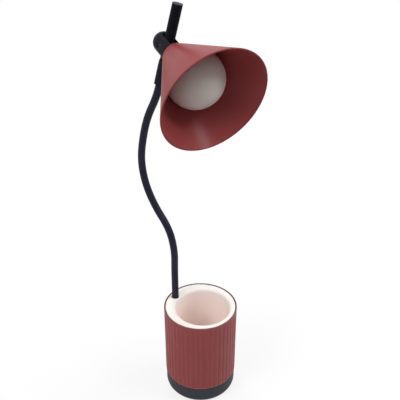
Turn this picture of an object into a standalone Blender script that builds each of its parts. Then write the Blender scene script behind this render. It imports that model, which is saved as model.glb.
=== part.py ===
"""Desk lamp with a pen holder: a fluted cup on a weighted base, a gooseneck and a cone shade.

Metres, +Z up. The origin is the centre of the foot pad's lower face. The lamp looks towards -Y.
"""

import math

import bmesh
import bpy
from mathutils import Matrix, Vector

# Clearances shared by every fit
SEAT_GAP = 0.0003
CUT_OVERRUN = 0.0040
WELD_DEPTH = 0.0006
MERGE = 0.000001

# Facet counts
CUP_SIDES = 42
SMALL_SIDES = 16
TINY_SIDES = 10
NECK_SIDES = 10
ARM_SIDES = 24
HUB_SIDES = 32
SHADE_SIDES = 48

# Cup: overall sizes
CUP_HEIGHT = 0.118
CUP_RADIUS = 0.0425
SHELL_DRAFT = 0.0004
SHELL_WALL = 0.0021
SHELL_LIP_WALL = 0.0012
SHELL_LIP_DEPTH = 0.0030
SHELL_LIP_ROUND = 0.0005
SMOOTH_BAND = 0.0034
FLUTE_COUNT = 45
FLUTE_DEPTH = 0.0006
FLUTE_RUNOUT = 0.0008
FLUTE_LAND_SHARE = 0.36

# Base cap
BASE_STEP = 0.0004
BASE_DRAFT = 0.0002
BASE_HEIGHT = 0.0250
BASE_FILLET = 0.0100
BASE_WALL = 0.0020
BASE_LIFT = 0.0012
GROOVE = 0.0008
SPIGOT_HEIGHT = 0.0060
SPIGOT_WALL = 0.0016

# Foot pad
FOOT_MARGIN = 0.0007
FOOT_RECESS = 0.0008

# Counterweight
WEIGHT_REACH = 0.0004
WEIGHT_THICKNESS = 0.0070
WEIGHT_CHAMFER = 0.0008

# Screws that draw the base cap up to the liner
SCREW_ANGLES_DEG = (30, 150, 270)
PILLAR_WALL = 0.0004
PILLAR_GAP = 0.0018
PILLAR_TOP = 0.0257
SCREW_SHANK = 0.0014
SCREW_HEAD = 0.0027
SCREW_HEAD_HEIGHT = 0.0019
SCREW_HEAD_PLAY = 0.0004
SCREW_WELL_DEPTH = 0.0110
SCREW_BITE = 0.0100
SCREW_PLAY = 0.0003

# Liner
WELL_OFFSET = 0.0032
WELL_CLEARANCE = 0.0133
WELL_WALL = 0.0016
WELL_FLOOR = 0.0020
WELL_MOUTH_ROUND = 0.0040
WELL_CORNER = 0.0030
LINER_PLATE = 0.0030
LINER_EDGE_ROUND = 0.0014
LINER_SKIRT_DEPTH = 0.0100
LINER_SKIRT_WALL = 0.0014
BOSS_WALL = 0.0013
BOSS_DEPTH = 0.0160

# Neck: where it leaves the cup, its size and how each length of it is bent
NECK_AROUND_DEG = 150.44
NECK_RIM_WALL = 0.00174
NECK_WELL_WALL = 0.00196
NECK_RADIUS = 0.0040
NECK_LINK = 0.0281
NECK_TURN_DEG = -45
NECK_BEND_DEG = (4, 2, -17, -32, 15, 19, 20, 6, 10, -18)
NECK_SIDE_DEG = (4, 0, 1, 1, -1.5, -2.5, -2, -2, -5, -4)
NECK_STATIONS = 3
BALL_WALL = 0.0012
BALL_PLAY = 0.0004
BALL_STEM_STEP = 0.0007
BALL_SHOULDER = 0.0018
NECK_SPIGOT_STEP = 0.0010
NECK_SPIGOT_SPARE = 0.0010
COLLAR_WALL = 0.0023
COLLAR_HEIGHT = 0.0058
COLLAR_WELL_GAP = 0.00036
GRUB_RADIUS = 0.0010
GRUB_LENGTH = 0.0019

# Power pack in the base
CELL_RADIUS = 0.0092
CELL_END_GAP = 0.0056
CELL_CAP_RADIUS = 0.0030
CELL_CAP_HEIGHT = 0.0010
CELL_Y = -0.0060
CRADLE_FLOOR = 0.0012
CRADLE_WALL = 0.0012
CRADLE_END_INSET = 0.0085
CRADLE_HEIGHT_SHARE = 0.90
BOARD_SIDE_GAP = 0.00205
BOARD_FRONT_GAP = 0.0043
BOARD_BACK_GAP = 0.0035
BOARD_THICKNESS = 0.0016
BOARD_LIFT = 0.0015
POST_RADIUS = 0.0022
POST_SIDE_INSET = 0.0035
POST_FRONT_INSET = 0.0080
POST_SCREW_RADIUS = 0.0009
POST_SCREW_LENGTH = 0.0050
POST_HEAD_RADIUS = 0.0018
POST_HEAD_HEIGHT = 0.0012

# Charging socket
SOCKET_WIDTH = 0.0090
SOCKET_HEIGHT = 0.0032
SOCKET_LENGTH = 0.0105
SOCKET_WALL = 0.0004
SOCKET_DEPTH = 0.0060
SOCKET_INSET = 0.0006
SOCKET_TONGUE = 0.0007
SOCKET_PLAY = 0.0004
SOCKET_ROUND = 0.0010

# Power button
BUTTON_TURN_DEG = -18
BUTTON_RADIUS = 0.0030
BUTTON_FLANGE_STEP = 0.0008
BUTTON_FLANGE = 0.0011
BUTTON_BACK_GAP = 0.0020
BUTTON_PROUD = 0.0008
BUTTON_ROUND = 0.0005
BUTTON_TRAVEL = 0.0006
BUTTON_PLAY = 0.0003
SWITCH_SIZE = 0.0060
SWITCH_DEPTH = 0.0034
SWITCH_SLACK = 0.0003

# Arm: the straight tube at the end of the neck and the sleeve that grips it
PIVOT_HEIGHT = 0.0366
SLEEVE_WALL = 0.00065
SLEEVE_STOP = 0.0135
SLEEVE_TAPER = 0.0030
SLEEVE_TAPER_DROP = 0.0002
SLEEVE_SKIRT = 0.0018
SLEEVE_SKIRT_PLAY = 0.0007
SLEEVE_MOUTH_PLAY = 0.0011
SLEEVE_CHAMFER = 0.0005
TUBE_STEP = 0.0012
TUBE_WALL = 0.0010
TUBE_TOP = 0.0416
TUBE_SEAT_DEPTH = 0.0120
PLUG_DEPTH = 0.0060
PLUG_LIP = 0.0010
ARM_TURN_DEG = 167.5

# Head: the hub that tilts on the tube
HEAD_ANGLE_DEG = -100.9
HEAD_DOWN_DEG = 6
HEAD_UP_DEG = 28
HUB_RADIUS = 0.0107
HUB_DOME_Z = -0.0085
HUB_WEB = 0.00094
HUB_CHAMFER = 0.0006
HUB_BORE = 0.0022
NIPPLE_RADIUS = 0.0050
NIPPLE_LENGTH = 0.0068
SLOT_MARGIN_DEG = 1.0
SLOT_SIDE_PLAY = 0.0004
PIN_RADIUS = 0.0015
PIN_HEAD_STEP = 0.0014
PIN_HEAD_HEIGHT = 0.0016
PIN_INSET = 0.0006
NUT_STEP = 0.0016
NUT_HEIGHT = 0.0018

# Shade
SHADE_APEX_Z = -0.0102
SHADE_MOUTH_Z = 0.0914
SHADE_MOUTH_RADIUS = 0.0556
SHADE_WALL = 0.0015
SHADE_SHOULDER = 0.0040
SHADE_SHOULDER_STEPS = 3
RING_EDGE_GAP = 0.00054
RING_THICKNESS = 0.0030

# Lamp holder, light board and globe
HOLDER_NECK_WALL = 0.0035
HOLDER_FLANGE_Z = 0.0335
HOLDER_FLANGE_THICKNESS = 0.0022
HOLDER_FLANGE_GAP = 0.00059
HOLDER_SPIGOT_PLAY = 0.00106
HOLDER_SPIGOT_HEIGHT = 0.0024
HOLDER_SPIGOT_WALL = 0.0018
HOLDER_RECESS_DEPTH = 0.0026
LIGHT_BOARD_PLAY = 0.0006
LIGHT_BOARD_THICKNESS = 0.0012
CHIP_SIZE = 0.0028
CHIP_HEIGHT = 0.0007
CHIP_INSET = 0.0060
CHIP_COUNT = 8
GLOBE_SHADE_GAP = 0.00062
GLOBE_WALL = 0.0012
GLOBE_Z = 0.0538
GLOBE_SIDES = 32
GLOBE_STEPS = 7

# Cup and base: what follows from the sizes above
SHELL_FOOT_RADIUS = CUP_RADIUS - SHELL_DRAFT
SHELL_FOOT_Z = BASE_HEIGHT + GROOVE
SHELL_INNER = SHELL_FOOT_RADIUS - SHELL_WALL
BASE_TOP_RADIUS = SHELL_FOOT_RADIUS - BASE_STEP
BASE_SIDE_RADIUS = BASE_TOP_RADIUS - BASE_DRAFT
BASE_INNER = SHELL_INNER - SEAT_GAP - SPIGOT_WALL
FOOT_RADIUS = BASE_SIDE_RADIUS - BASE_FILLET - FOOT_MARGIN
FLOOR_Z = BASE_LIFT + BASE_WALL
WEIGHT_Z = FLOOR_Z + SEAT_GAP
WEIGHT_RADIUS = BASE_INNER - (BASE_FILLET - BASE_WALL) + WEIGHT_REACH
PLATE_Z = CUP_HEIGHT - SHELL_LIP_DEPTH + SEAT_GAP

# Power pack, its screws and the button
CRADLE_Z = WEIGHT_Z + WEIGHT_THICKNESS + SEAT_GAP
CELL_Z = CRADLE_Z + CRADLE_FLOOR + SEAT_GAP + CELL_RADIUS
CELL_LENGTH = 2 * (BASE_INNER - CELL_END_GAP)
CRADLE_LENGTH = CELL_LENGTH - 2 * CRADLE_END_INSET
CRADLE_HALF_WIDTH = CELL_RADIUS + SEAT_GAP + CRADLE_WALL
SCREW_WELL = SCREW_HEAD + SCREW_HEAD_PLAY
PILLAR_RADIUS = SCREW_WELL + PILLAR_WALL
SCREW_CIRCLE = CRADLE_HALF_WIDTH - CELL_Y + PILLAR_GAP + PILLAR_RADIUS
PILLAR_X = SCREW_CIRCLE * math.cos(math.radians(SCREW_ANGLES_DEG[0]))
BOARD_WIDTH = 2 * (PILLAR_X - PILLAR_RADIUS - BOARD_SIDE_GAP)
BOARD_FRONT_Y = CELL_Y + CRADLE_HALF_WIDTH + BOARD_FRONT_GAP
BOARD_BACK_Y = BASE_INNER - BOARD_BACK_GAP
BOARD_Z = WEIGHT_Z + WEIGHT_THICKNESS + BOARD_LIFT
BOARD_TOP = BOARD_Z + BOARD_THICKNESS
POST_X = BOARD_WIDTH / 2 - POST_SIDE_INSET
POST_Y = BOARD_FRONT_Y + POST_FRONT_INSET
SOCKET_Z = BOARD_TOP + SEAT_GAP
BUTTON_FLANGE_RADIUS = BUTTON_RADIUS + BUTTON_FLANGE_STEP
BUTTON_Z = BOARD_TOP + SEAT_GAP + BUTTON_FLANGE_RADIUS + SEAT_GAP
BUTTON_HOLE = BUTTON_RADIUS + BUTTON_PLAY
BUTTON_BACK = BASE_INNER - BUTTON_BACK_GAP
BUTTON_FRONT = BASE_SIDE_RADIUS + BUTTON_PROUD

# Pen well and the neck beside it
NECK_CIRCLE = SHELL_INNER - NECK_RIM_WALL - NECK_RADIUS
NECK_X = NECK_CIRCLE * math.cos(math.radians(NECK_AROUND_DEG))
NECK_Y = NECK_CIRCLE * math.sin(math.radians(NECK_AROUND_DEG))
WELL_RADIUS = NECK_CIRCLE + WELL_OFFSET - NECK_RADIUS - NECK_WELL_WALL
WELL_BOTTOM_Z = CELL_Z + CELL_RADIUS + WELL_CLEARANCE + WELL_FLOOR
WELL_AXIS = Vector((-NECK_X, -NECK_Y, 0)).normalized() * WELL_OFFSET
BOSS_RADIUS = NECK_RADIUS + BOSS_WALL
NECK_SPIGOT_RADIUS = NECK_RADIUS - NECK_SPIGOT_STEP
NECK_SPIGOT_LENGTH = COLLAR_HEIGHT + NECK_SPIGOT_SPARE
COLLAR_RADIUS = NECK_SPIGOT_RADIUS + COLLAR_WALL
COLLAR_FLAT = NECK_RADIUS + NECK_WELL_WALL - WELL_WALL - COLLAR_WELL_GAP
BALL_RADIUS = NECK_RADIUS - BALL_WALL
BALL_STEM_RADIUS = BALL_RADIUS - BALL_STEM_STEP

# Arm and hub
TUBE_RADIUS = NECK_RADIUS + TUBE_STEP
SLEEVE_RADIUS = TUBE_RADIUS + SLEEVE_WALL
SLEEVE_SKIRT_RADIUS = NECK_RADIUS + SLEEVE_SKIRT_PLAY
SLEEVE_MOUTH_RADIUS = NECK_RADIUS + SLEEVE_MOUTH_PLAY
PIN_HEAD_RADIUS = PIN_RADIUS + PIN_HEAD_STEP
NUT_RADIUS = PIN_RADIUS + NUT_STEP
SLOT_LEAN = math.radians((HEAD_DOWN_DEG + HEAD_UP_DEG) / 2 + SLOT_MARGIN_DEG)
SLOT_WAIST = (TUBE_RADIUS + SEAT_GAP) / math.cos(SLOT_LEAN)
HUB_FRONT_Z = SLOT_WAIST + HUB_RADIUS * math.tan(SLOT_LEAN) + HUB_WEB

# Shade, holder and globe
SHADE_BACK_Z = HUB_FRONT_Z + SEAT_GAP
SHADE_SLOPE = SHADE_MOUTH_RADIUS / (SHADE_MOUTH_Z - SHADE_APEX_Z)
SHADE_ANGLE = math.atan(SHADE_SLOPE)
SHADE_ACROSS = SHADE_WALL / math.cos(SHADE_ANGLE)
SHOULDER_Z = SHADE_BACK_Z + SHADE_SHOULDER
SHOULDER_RADIUS = (SHOULDER_Z - SHADE_APEX_Z) * SHADE_SLOPE - SHADE_SHOULDER / math.cos(SHADE_ANGLE)
RING_RADIUS = SHOULDER_RADIUS - RING_EDGE_GAP
HOLDER_NECK_RADIUS = NIPPLE_RADIUS + HOLDER_NECK_WALL
GLOBE_RADIUS = (GLOBE_Z - SHADE_APEX_Z) * math.sin(SHADE_ANGLE) - SHADE_WALL - GLOBE_SHADE_GAP
GLOBE_SEAT_Z = HOLDER_FLANGE_Z + HOLDER_FLANGE_THICKNESS + SEAT_GAP
GLOBE_SEAT_INNER = math.sqrt((GLOBE_RADIUS - GLOBE_WALL) ** 2 - (GLOBE_Z - GLOBE_SEAT_Z) ** 2)
HOLDER_FLANGE_RADIUS = (
    (HOLDER_FLANGE_Z - SHADE_APEX_Z) * SHADE_SLOPE - SHADE_ACROSS - HOLDER_FLANGE_GAP
)
HOLDER_SPIGOT_RADIUS = GLOBE_SEAT_INNER - HOLDER_SPIGOT_PLAY
HOLDER_RECESS_RADIUS = HOLDER_SPIGOT_RADIUS - HOLDER_SPIGOT_WALL
LIGHT_BOARD_RADIUS = HOLDER_RECESS_RADIUS - LIGHT_BOARD_PLAY
CHIP_CIRCLE = LIGHT_BOARD_RADIUS - CHIP_INSET


# Scene helpers
def clear_scene():
    """Remove every object of the scene."""
    for thing in list(bpy.data.objects):
        bpy.data.objects.remove(thing, do_unlink=True)


def material(name, colour, roughness, metallic=0.0):
    """Plain material with its colour, roughness and metallic value."""
    mat = bpy.data.materials.new(name)
    mat.use_nodes = True
    shader = mat.node_tree.nodes["Principled BSDF"]
    shader.inputs["Base Color"].default_value = (*colour, 1.0)
    shader.inputs["Roughness"].default_value = roughness
    shader.inputs["Metallic"].default_value = metallic
    mat.diffuse_color = (*colour, 1.0)
    return mat


def empty(name, parent, matrix):
    """Frame that pieces hang on."""
    frame = bpy.data.objects.new(name, None)
    bpy.context.scene.collection.objects.link(frame)
    frame.parent = parent
    frame.matrix_local = matrix
    return frame


def place(name, mesh, mat, parent=None, matrix=None, smooth_deg=35):
    """Object made from a mesh, shaded smooth below an edge angle."""
    piece = bpy.data.objects.new(name, mesh)
    bpy.context.scene.collection.objects.link(piece)
    if mat is not None:
        mesh.materials.append(mat)
    mesh.shade_smooth()
    mesh.set_sharp_from_angle(angle=math.radians(smooth_deg))
    piece.parent = parent
    piece.matrix_local = matrix or Matrix.Identity(4)
    return piece


def guide(name, mesh, parent=None, matrix=None):
    """Hidden body for a Boolean."""
    piece = place(name, mesh, None, parent, matrix)
    piece.hide_render = True
    piece.display_type = "WIRE"
    return piece


def combine(piece, other, operation):
    """Add, cut or keep by a hidden body."""
    step = piece.modifiers.new(other.name, "BOOLEAN")
    step.operation = operation
    step.solver = "EXACT"
    step.object = other


def finish_mesh(bm, name):
    """Close a bmesh into a mesh with its faces pointing out."""
    bmesh.ops.remove_doubles(bm, verts=bm.verts, dist=MERGE)
    bmesh.ops.recalc_face_normals(bm, faces=bm.faces)
    mesh = bpy.data.meshes.new(name)
    bm.to_mesh(mesh)
    bm.free()
    return mesh


def turned(name, outline, sides):
    """Body turned about Z from an outline of (radius, height) points."""
    bm = bmesh.new()
    verts = [bm.verts.new((radius, 0, height)) for radius, height in outline]
    edges = [bm.edges.new(pair) for pair in zip(verts, verts[1:])]
    if outline[0][0] > 0 or outline[-1][0] > 0:
        edges.append(bm.edges.new((verts[-1], verts[0])))
    bmesh.ops.spin(
        bm,
        geom=verts + edges,
        axis=(0, 0, 1),
        cent=(0, 0, 0),
        angle=math.tau,
        steps=sides,
        use_merge=True,
    )
    return finish_mesh(bm, name)


def rod(name, radius, low, high, sides=SMALL_SIDES):
    """Solid cylinder on Z."""
    return turned(name, [(0, low), (radius, low), (radius, high), (0, high)], sides)


def ring(name, inner, outer, low, high, sides=SMALL_SIDES):
    """Plain ring on Z."""
    return turned(name, [(inner, low), (outer, low), (outer, high), (inner, high)], sides)


def block(name, low, high):
    """Box between two corners."""
    bm = bmesh.new()
    size = Vector(high) - Vector(low)
    centre = (Vector(high) + Vector(low)) / 2
    bmesh.ops.create_cube(bm, size=1, matrix=Matrix.Translation(centre) @ Matrix.Diagonal((*size, 1)))
    return finish_mesh(bm, name)


def prism(name, outline, low, high):
    """Outline of (x, z) points extruded along Y."""
    bm = bmesh.new()
    face = bm.faces.new([bm.verts.new((x, low, z)) for x, z in outline])
    grown = bmesh.ops.extrude_face_region(bm, geom=[face])
    moved = [part for part in grown["geom"] if isinstance(part, bmesh.types.BMVert)]
    bmesh.ops.translate(bm, verts=moved, vec=(0, high - low, 0))
    return finish_mesh(bm, name)


def skin(name, rings, closed=False):
    """Body through rings of points, capped at both ends or joined into a loop."""
    bm = bmesh.new()
    loops = [[bm.verts.new(point) for point in points] for points in rings]
    count = len(loops[0])
    pairs = list(zip(loops, loops[1:]))
    if closed:
        pairs.append((loops[-1], loops[0]))
    for lower, upper in pairs:
        for i in range(count):
            j = (i + 1) % count
            bm.faces.new((lower[i], lower[j], upper[j], upper[i]))
    if not closed:
        bm.faces.new(loops[0])
        bm.faces.new(loops[-1])
    return finish_mesh(bm, name)


def arc(radius, height, size, start_deg, end_deg, steps):
    """Points of a round in an outline, about (radius, height)."""
    points = []
    for i in range(steps + 1):
        angle = math.radians(start_deg + (end_deg - start_deg) * i / steps)
        points.append((radius + size * math.cos(angle), height + size * math.sin(angle)))
    return points


def around(circle, angles_deg):
    """Places on a circle about Z."""
    return [(circle * math.cos(math.radians(a)), circle * math.sin(math.radians(a))) for a in angles_deg]


def at(x, y, z=0):
    """Matrix that moves a mesh to a place."""
    return Matrix.Translation((x, y, z))


# Axes of a turned mesh laid along X and along Y
ALONG_X = Matrix.Rotation(math.radians(90), 4, "Y")
ALONG_Y = Matrix.Rotation(math.radians(-90), 4, "X")


# Cup
def flute_ring(crest, depth, height):
    """One ring of the fluted wall: a land and the bottom of a groove for each flute."""
    pitch = math.tau / FLUTE_COUNT
    land = pitch * FLUTE_LAND_SHARE / 2
    points = []
    for i in range(FLUTE_COUNT):
        middle = i * pitch
        for angle, radius in (
            (middle - land, crest),
            (middle + land, crest),
            (middle + pitch / 2, crest - depth),
        ):
            points.append((radius * math.cos(angle), radius * math.sin(angle), height))
    return points


def ribbed_shell(mat):
    """Fluted outer wall with a smooth band and a thin lip at the rim."""
    band_z = CUP_HEIGHT - SMOOTH_BAND
    foot = SHELL_FOOT_RADIUS
    rings = [
        flute_ring(foot, 0, SHELL_FOOT_Z),
        flute_ring(foot, FLUTE_DEPTH, SHELL_FOOT_Z + FLUTE_RUNOUT),
        flute_ring(CUP_RADIUS, FLUTE_DEPTH, band_z - FLUTE_RUNOUT),
        flute_ring(CUP_RADIUS, 0, band_z),
        flute_ring(CUP_RADIUS, 0, CUP_HEIGHT - SHELL_LIP_ROUND),
        flute_ring(CUP_RADIUS - SHELL_LIP_ROUND, 0, CUP_HEIGHT),
        flute_ring(CUP_RADIUS - SHELL_LIP_WALL, 0, CUP_HEIGHT),
        flute_ring(CUP_RADIUS - SHELL_LIP_WALL, 0, CUP_HEIGHT - SHELL_LIP_DEPTH),
        flute_ring(SHELL_INNER, 0, CUP_HEIGHT - SHELL_LIP_DEPTH),
        flute_ring(SHELL_INNER, 0, SHELL_FOOT_Z),
    ]
    return place("ribbed_shell", skin("ribbed_shell", rings, closed=True), mat, smooth_deg=30)


def liner_plate():
    """Rim plate of the liner with its skirt inside the shell."""
    edge = CUP_RADIUS - SHELL_LIP_WALL - SEAT_GAP
    skirt = SHELL_INNER - SEAT_GAP
    low = PLATE_Z - LINER_SKIRT_DEPTH
    outline = [(0, CUP_HEIGHT)]
    outline += arc(edge - LINER_EDGE_ROUND, CUP_HEIGHT - LINER_EDGE_ROUND, LINER_EDGE_ROUND, 90, 0, 3)
    outline += [
        (edge, PLATE_Z),
        (skirt, PLATE_Z),
        (skirt, low),
        (skirt - LINER_SKIRT_WALL, low),
        (skirt - LINER_SKIRT_WALL, CUP_HEIGHT - LINER_PLATE),
        (0, CUP_HEIGHT - LINER_PLATE),
    ]
    return turned("cup_liner", outline[::-1], CUP_SIDES)


def liner_well_body():
    """Outside of the pen well."""
    outer = WELL_RADIUS + WELL_WALL
    low = WELL_BOTTOM_Z - WELL_FLOOR
    corner = WELL_CORNER + WELL_WALL
    outline = [(0, low)]
    outline += arc(outer - corner, low + corner, corner, -90, 0, 3)
    outline += [(outer, CUP_HEIGHT - LINER_PLATE / 2), (0, CUP_HEIGHT - LINER_PLATE / 2)]
    return turned("liner_well_body", outline, CUP_SIDES)


def liner_well_hollow():
    """Inside of the pen well, with a rounded mouth."""
    mouth = CUP_HEIGHT - WELL_MOUTH_ROUND
    outline = [(0, WELL_BOTTOM_Z)]
    outline += arc(WELL_RADIUS - WELL_CORNER, WELL_BOTTOM_Z + WELL_CORNER, WELL_CORNER, -90, 0, 3)
    outline += arc(WELL_RADIUS + WELL_MOUTH_ROUND, mouth, WELL_MOUTH_ROUND, 180, 90, 4)
    outline += [(WELL_RADIUS + WELL_MOUTH_ROUND, CUP_HEIGHT + CUT_OVERRUN), (0, CUP_HEIGHT + CUT_OVERRUN)]
    return turned("liner_well_hollow", outline, CUP_SIDES)


def cup_liner(mat):
    """Liner: rim plate, off-centre pen well, neck boss and screw bosses in one moulding."""
    liner = place("cup_liner", liner_plate(), mat)
    well = at(*WELL_AXIS)
    neck = at(NECK_X, NECK_Y)
    combine(liner, guide("liner_well_body", liner_well_body(), matrix=well), "UNION")
    boss_low = CUP_HEIGHT - BOSS_DEPTH
    boss = rod("liner_neck_boss", BOSS_RADIUS, boss_low, CUP_HEIGHT - LINER_PLATE / 2)
    combine(liner, guide("liner_neck_boss", boss, matrix=neck), "UNION")
    boss_top = WELL_BOTTOM_Z - WELL_FLOOR / 2
    pilot_top = PILLAR_TOP + SCREW_BITE + SCREW_PLAY
    for i, (x, y) in enumerate(around(SCREW_CIRCLE, SCREW_ANGLES_DEG)):
        name = f"liner_screw_boss_{i + 1}"
        pillar = rod(name, PILLAR_RADIUS, PILLAR_TOP + SEAT_GAP, boss_top, TINY_SIDES)
        combine(liner, guide(name, pillar, matrix=at(x, y)), "UNION")
    combine(liner, guide("liner_well_hollow", liner_well_hollow(), matrix=well), "DIFFERENCE")
    bore_low = boss_low - CUT_OVERRUN
    bore = rod("liner_neck_bore", NECK_RADIUS + SEAT_GAP, bore_low, CUP_HEIGHT + CUT_OVERRUN)
    combine(liner, guide("liner_neck_bore", bore, matrix=neck), "DIFFERENCE")
    for i, (x, y) in enumerate(around(SCREW_CIRCLE, SCREW_ANGLES_DEG)):
        name = f"liner_pilot_{i + 1}"
        pilot = rod(name, SCREW_SHANK + SCREW_PLAY, PILLAR_TOP - CUT_OVERRUN, pilot_top, TINY_SIDES)
        combine(liner, guide(name, pilot, matrix=at(x, y)), "DIFFERENCE")
    return liner


# Base
def base_outline():
    """Section of the base cap: floor, big outer round, side and the spigot inside the shell."""
    flat = BASE_SIDE_RADIUS - BASE_FILLET
    spigot = SHELL_INNER - SEAT_GAP
    inner = BASE_INNER
    corner = BASE_FILLET - BASE_WALL
    recess = BASE_LIFT + FOOT_RECESS
    outline = [(0, recess), (FOOT_RADIUS + SEAT_GAP, recess), (FOOT_RADIUS + SEAT_GAP, BASE_LIFT)]
    outline += arc(flat, BASE_LIFT + BASE_FILLET, BASE_FILLET, -90, 0, 5)
    outline += [
        (BASE_TOP_RADIUS, BASE_HEIGHT),
        (spigot, BASE_HEIGHT),
        (spigot, BASE_HEIGHT + SPIGOT_HEIGHT),
        (inner, BASE_HEIGHT + SPIGOT_HEIGHT),
    ]
    outline += arc(inner - corner, FLOOR_Z + corner, corner, 0, -90, 3)
    outline += [(0, FLOOR_Z)]
    return outline


def base_cap(mat):
    """Base cap with its pillars, board posts, screw wells, socket slot and button hole."""
    base = place("base_cap", turned("base_cap", base_outline(), CUP_SIDES), mat)
    well_top = BASE_LIFT + SCREW_WELL_DEPTH
    root = FLOOR_Z - WELD_DEPTH
    for i, (x, y) in enumerate(around(SCREW_CIRCLE, SCREW_ANGLES_DEG)):
        name = f"base_pillar_{i + 1}"
        pillar = rod(name, PILLAR_RADIUS, root, PILLAR_TOP, TINY_SIDES)
        combine(base, guide(name, pillar, matrix=at(x, y)), "UNION")
    for side in (-1, 1):
        name = f"board_post_{'left' if side < 0 else 'right'}"
        post = rod(name, POST_RADIUS, root, BOARD_Z - SEAT_GAP, TINY_SIDES)
        combine(base, guide(name, post, matrix=at(side * POST_X, POST_Y)), "UNION")
        pilot_radius = POST_SCREW_RADIUS + SCREW_PLAY
        pilot = rod(name + "_pilot", pilot_radius, BOARD_TOP - POST_SCREW_LENGTH, BOARD_TOP, TINY_SIDES)
        combine(base, guide(name + "_pilot", pilot, matrix=at(side * POST_X, POST_Y)), "DIFFERENCE")
    for i, (x, y) in enumerate(around(SCREW_CIRCLE, SCREW_ANGLES_DEG)):
        name = f"base_screw_hole_{i + 1}"
        outline = [
            (0, BASE_LIFT - CUT_OVERRUN),
            (SCREW_WELL, BASE_LIFT - CUT_OVERRUN),
            (SCREW_WELL, well_top),
            (SCREW_SHANK + SCREW_PLAY, well_top),
            (SCREW_SHANK + SCREW_PLAY, PILLAR_TOP + CUT_OVERRUN),
            (0, PILLAR_TOP + CUT_OVERRUN),
        ]
        combine(base, guide(name, turned(name, outline, TINY_SIDES), matrix=at(x, y)), "DIFFERENCE")
    combine(base, socket_slot(), "DIFFERENCE")
    hole = rod("button_hole", BUTTON_HOLE, BUTTON_BACK, BASE_TOP_RADIUS + CUT_OVERRUN)
    combine(base, guide("button_hole", hole, matrix=button_line()), "DIFFERENCE")
    return base


def socket_slot():
    """Rounded slot in the back wall for the charging socket."""
    half = SOCKET_WIDTH / 2 + SOCKET_PLAY
    low = (-half, BASE_TOP_RADIUS - SOCKET_LENGTH, SOCKET_Z - SOCKET_PLAY)
    high = (half, BASE_TOP_RADIUS + CUT_OVERRUN, SOCKET_Z + SOCKET_HEIGHT + SOCKET_PLAY)
    return guide("socket_slot", rounded_bar("socket_slot", low, high, SOCKET_ROUND))


def rounded_bar(name, low, high, size):
    """Bar along Y whose four long edges are rounded."""
    bm = bmesh.new()
    centre = (Vector(high) + Vector(low)) / 2
    extent = Vector(high) - Vector(low)
    bmesh.ops.create_cube(bm, size=1, matrix=Matrix.Translation(centre) @ Matrix.Diagonal((*extent, 1)))
    long_edges = [e for e in bm.edges if abs(e.verts[0].co.y - e.verts[1].co.y) > extent.y / 2]
    bmesh.ops.bevel(bm, geom=long_edges, offset=size, segments=3, profile=0.5, affect="EDGES")
    return finish_mesh(bm, name)


def foot_pad(mat):
    """Rubber pad that the lamp stands on, over the heads of the base screws."""
    top = BASE_LIFT + FOOT_RECESS - SEAT_GAP
    outline = [
        (0, 0),
        (FOOT_RADIUS - FOOT_RECESS / 2, 0),
        (FOOT_RADIUS, FOOT_RECESS / 2),
        (FOOT_RADIUS, top),
        (0, top),
    ]
    return place("foot_pad", turned("foot_pad", outline, CUP_SIDES), mat)


def counterweight(mat):
    """Steel disc on the floor of the base cap, pierced for the pillars and posts."""
    top = WEIGHT_Z + WEIGHT_THICKNESS
    outline = [
        (0, WEIGHT_Z),
        (WEIGHT_RADIUS - WEIGHT_CHAMFER, WEIGHT_Z),
        (WEIGHT_RADIUS, WEIGHT_Z + WEIGHT_CHAMFER),
        (WEIGHT_RADIUS, top - WEIGHT_CHAMFER),
        (WEIGHT_RADIUS - WEIGHT_CHAMFER, top),
        (0, top),
    ]
    weight = place("counterweight", turned("counterweight", outline, CUP_SIDES), mat)
    low = WEIGHT_Z - CUT_OVERRUN
    high = top + CUT_OVERRUN
    for i, (x, y) in enumerate(around(SCREW_CIRCLE, SCREW_ANGLES_DEG)):
        name = f"weight_pillar_hole_{i + 1}"
        hole = rod(name, PILLAR_RADIUS + SEAT_GAP, low, high, TINY_SIDES)
        combine(weight, guide(name, hole, matrix=at(x, y)), "DIFFERENCE")
    for side in (-1, 1):
        name = f"weight_post_hole_{'left' if side < 0 else 'right'}"
        hole = rod(name, POST_RADIUS + SEAT_GAP, low, high, TINY_SIDES)
        combine(weight, guide(name, hole, matrix=at(side * POST_X, POST_Y)), "DIFFERENCE")
    return weight


def base_screws(mat):
    """Three screws from under the base cap into the liner's bosses."""
    head_top = BASE_LIFT + SCREW_WELL_DEPTH - SEAT_GAP
    tip = PILLAR_TOP + SCREW_BITE
    outline = [
        (0, head_top - SCREW_HEAD_HEIGHT),
        (SCREW_HEAD, head_top - SCREW_HEAD_HEIGHT),
        (SCREW_HEAD, head_top),
        (SCREW_SHANK, head_top),
        (SCREW_SHANK, tip - SCREW_SHANK),
        (0, tip),
    ]
    for i, (x, y) in enumerate(around(SCREW_CIRCLE, SCREW_ANGLES_DEG)):
        name = f"base_screw_{i + 1}"
        place(name, turned(name, outline, TINY_SIDES), mat, matrix=at(x, y))


# Power pack
def battery_cell(mat):
    """Cylindrical cell lying across the base, with its raised end."""
    half = CELL_LENGTH / 2
    outline = [
        (0, -half),
        (CELL_RADIUS, -half),
        (CELL_RADIUS, half - CELL_CAP_HEIGHT),
        (CELL_CAP_RADIUS, half - CELL_CAP_HEIGHT),
        (CELL_CAP_RADIUS, half),
        (0, half),
    ]
    matrix = at(0, CELL_Y, CELL_Z) @ ALONG_X
    return place("battery_cell", turned("battery_cell", outline, SMALL_SIDES), mat, matrix=matrix)


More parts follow.
